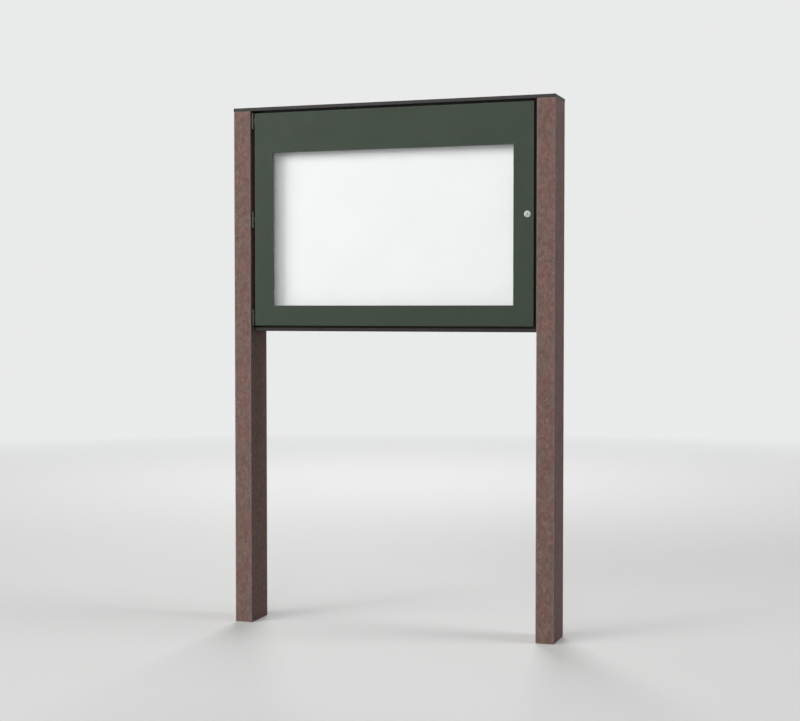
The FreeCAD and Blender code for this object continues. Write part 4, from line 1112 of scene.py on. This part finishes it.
def domedScrewRows(head, height, shank, length, sunk=0.0002, ease=0.0001, runOut=0.001):
    # The recess, a domed head, and a threaded shank
    recess = 0.6 * height
    rows = [(height - recess, 0.75 * shank, 0, "hex"), (height - sunk, 0.8 * shank, 1, "hex"),
            (height, 0.85 * shank, 1, "hex"), *dome(height, head, 0.55 * head)[::-1],
            (0, head - ease, 0), (0, shank, 0)]
    rows += thread(-runOut, shank - length, shank - ease, pitch=0.0012, depth=0.0003)
    return rows + [(-length, 0.5 * shank, 0.5)]


def rivetRows(head, height, shank, grip, tail):
    # A domed head with its pin's dimple, the shank through both sheets, and the spread tail
    dimple = 0.6 * height
    rows = [(dimple, 0.1 * head, 0), (dimple, 0.28 * head, 1), (height, 0.34 * head, 1),
            *dome(height, head, 0.45 * head)[::-1], (0, shank, 0), (-grip, shank, 0)]
    rows += [(dimple * (np.cos(a) - 1) - grip, shank + (tail - shank) * np.sin(a), 0.5)
             for a in np.linspace(0, pi, 7)[1:]]
    return rows + [(-grip - 1.4 * height, 0.7 * shank, 0.5)]


def studRows(radius, length, point):
    # A thread over the whole length, narrower at its free end
    rows = thread(0, length - point, radius, pitch=0.0007, depth=0.00025)
    return [(0, radius, 1), *rows[1:], (length, radius - point, 1)]


fastened("cap_flat_screws", "cap_screws", flatScrewRows(**screws["cap"]), "+z", capSpots,
         cornersOf("top_cap")[1][2])
for (side, name), facing in zip(sides, ("+x", "-x")):
    fastened(f"{name}_channel_screws", f"{name}_case_screws", domedScrewRows(**screws["channel"]), facing,
             webSpots, side * (sideHigh[0] - case["thickness"]))
smallScrew = domedScrewRows(**screws["small"])
fastened("rear_screws", "back_screws", smallScrew, "+y", backSpots, cornersOf("case_back")[1][1])
fastened("display_screws", "panel_screws", smallScrew, "-y", panelSpots, cornersOf("display_panel")[0][1])
fastened("cam_fixing_screw", "cam_screw", smallScrew, "+y", [lockAt[plane]], cornersOf("lock_cam")[1][1])

leafSpots = np.concatenate([crossed(*leafHoles(f"{place}_hinge_post_leaf")) for place in hingePlaces])
fastened("leaf_screws", "hinge_screws", flatScrewRows(**screws["leaf"]), "+x", leafSpots,
         cornersOf("middle_hinge_post_leaf")[0][0] + hinge["thickness"])
fastened("leaf_rivets", "hinge_rivets", rivetRows(**rivet), "-x", leafSpots,
         cornersOf("middle_hinge_door_leaf")[1][0] - hinge["thickness"])

studLine = retainer["studLine"]
studSpots = [(x, z) for z in (glassLow[2] - studLine, glassHigh[2] + studLine) for x in studColumns]
studSpots += [(side * (glassHigh[0] + studLine), z) for side in (-1, 1) for z in studHeights]
fastened("welded_studs", "retainer_studs", studRows(**stud), "+y", studSpots, sheetBack)
fastened("stud_nuts", "retainer_nuts", nutRows(**studNut), "+y", studSpots,
         sheetBack + retainer["thickness"], True)
print("fasteners made")


# Camera, floor and light

view = {"place": (1.8756, -5.406, 1.2252), "pitch": 1.981, "turn": 18.96, "lens": 67.65, "sensor": 36.0}
camera = bpy.data.cameras.new("camera")
camera.lens, camera.sensor_width = view["lens"], view["sensor"]
cameraPiece = placed("camera", camera)
cameraPiece.location = view["place"]
cameraPiece.rotation_euler = (radians(90 - view["pitch"]), 0, radians(view["turn"]))
bpy.context.scene.camera = cameraPiece

studio = {"background": (0.82, 0.825, 0.83, 1), "worldLevel": 0.13}
floor = {"lit": (0.3, 0.3, 0.295, 1), "seen": (0.76, 0.76, 0.755, 1), "roughness": 0.85, "shine": 0.2,
         "radius": 40.0, "level": -0.0005, "fade": (3.0, 9.0)}
lamps = {
    "key": {"place": (-2.6, -10.2, 6.8), "aim": (0, 0, 1.2), "size": (13.0, 7.0), "power": 850},
    "low": {"place": (-8.0, -7.0, 2.8), "aim": (0, 0, 1.2), "size": (6.0, 5.0), "power": 490},
    "front": {"place": (2.4, -9.4, 2.4), "aim": (0, 0, 1.0), "size": (3.0, 3.0), "power": 127},
    "side": {"place": (4.2, 0.3, 5.6), "aim": (0.3, 0, 1.0), "size": (1.8, 1.8), "power": 94},
    "back": {"place": (-2.2, 6.5, 5.0), "aim": (0, 0, 1.2), "size": (3.5, 3.5), "power": 320},
}
unmirrored = bpy.data.collections.new("unmirrored")  # the pane takes no mirror image of the lamps
unmirrored.objects.link(bpy.data.objects["pane_sheet"])
unmirrored.collection_objects[0].light_linking.link_state = "EXCLUDE"
for name, lamp in lamps.items():
    light = bpy.data.lights.new(name, "AREA")
    light.shape, light.energy = "RECTANGLE", lamp["power"]
    light.size, light.size_y = lamp["size"]
    lightPiece = placed(name, light)
    lightPiece.location = lamp["place"]
    aim = Vector(lamp["aim"]) - Vector(lamp["place"])
    lightPiece.rotation_euler = aim.to_track_quat("-Z", "Y").to_euler()
    lightPiece.light_linking.receiver_collection = unmirrored


def seenDirectly(tree):
    # 1 for rays from the camera, also by way of glass or gloss, and 0 for light that bounces on
    path = addNode(tree, "LightPath").outputs
    direct = combined(tree, "MAXIMUM", path["Is Camera Ray"], path["Is Glossy Ray"])
    return combined(tree, "MAXIMUM", direct, path["Is Transmission Ray"])


world = bpy.data.worlds.new("studio")
world.use_nodes = True
sky = world.node_tree
sky.nodes["Background"].inputs["Color"].default_value = studio["background"]
brightness = ranged(sky, seenDirectly(sky), studio["worldLevel"], 1.0)
sky.links.new(brightness, sky.nodes["Background"].inputs["Strength"])
bpy.context.scene.world = world

# The floor is paler to the camera than to the light, and far away it takes the colour of the background
floorLook, floorTree, floorShader = newMaterial(
    "floorPale", {"Roughness": floor["roughness"], "Specular IOR Level": floor["shine"]})[:3]
seen = seenDirectly(floorTree)
tone = covered(floorTree, floor["lit"], seen, floor["seen"])
floorTree.links.new(tone, floorShader.inputs["Base Color"])
onFloor = addNode(floorTree, "TexCoord").outputs["Object"]
away = addNode(floorTree, "VectorMath", {0: onFloor}, operation="LENGTH").outputs["Value"]
fade = combined(floorTree, "MULTIPLY", ranged(floorTree, away, 0, 1, *floor["fade"]), seen)
far = addNode(floorTree, "Emission", {"Color": studio["background"], "Strength": 1.0})
mixShaders(floorTree, fade, floorShader, far)
floorMesh = bpy.data.meshes.new("floor")
floorRim = lift(rayLoop(fineAngles, floor["radius"]), floor["level"], "z")
floorMesh.from_pydata(floorRim.tolist(), [], [list(range(len(floorRim)))])
floorMesh.materials.append(floorLook)
placed("floor", floorMesh)
bpy.context.scene.view_settings.view_transform = "Standard"
print("stage set")
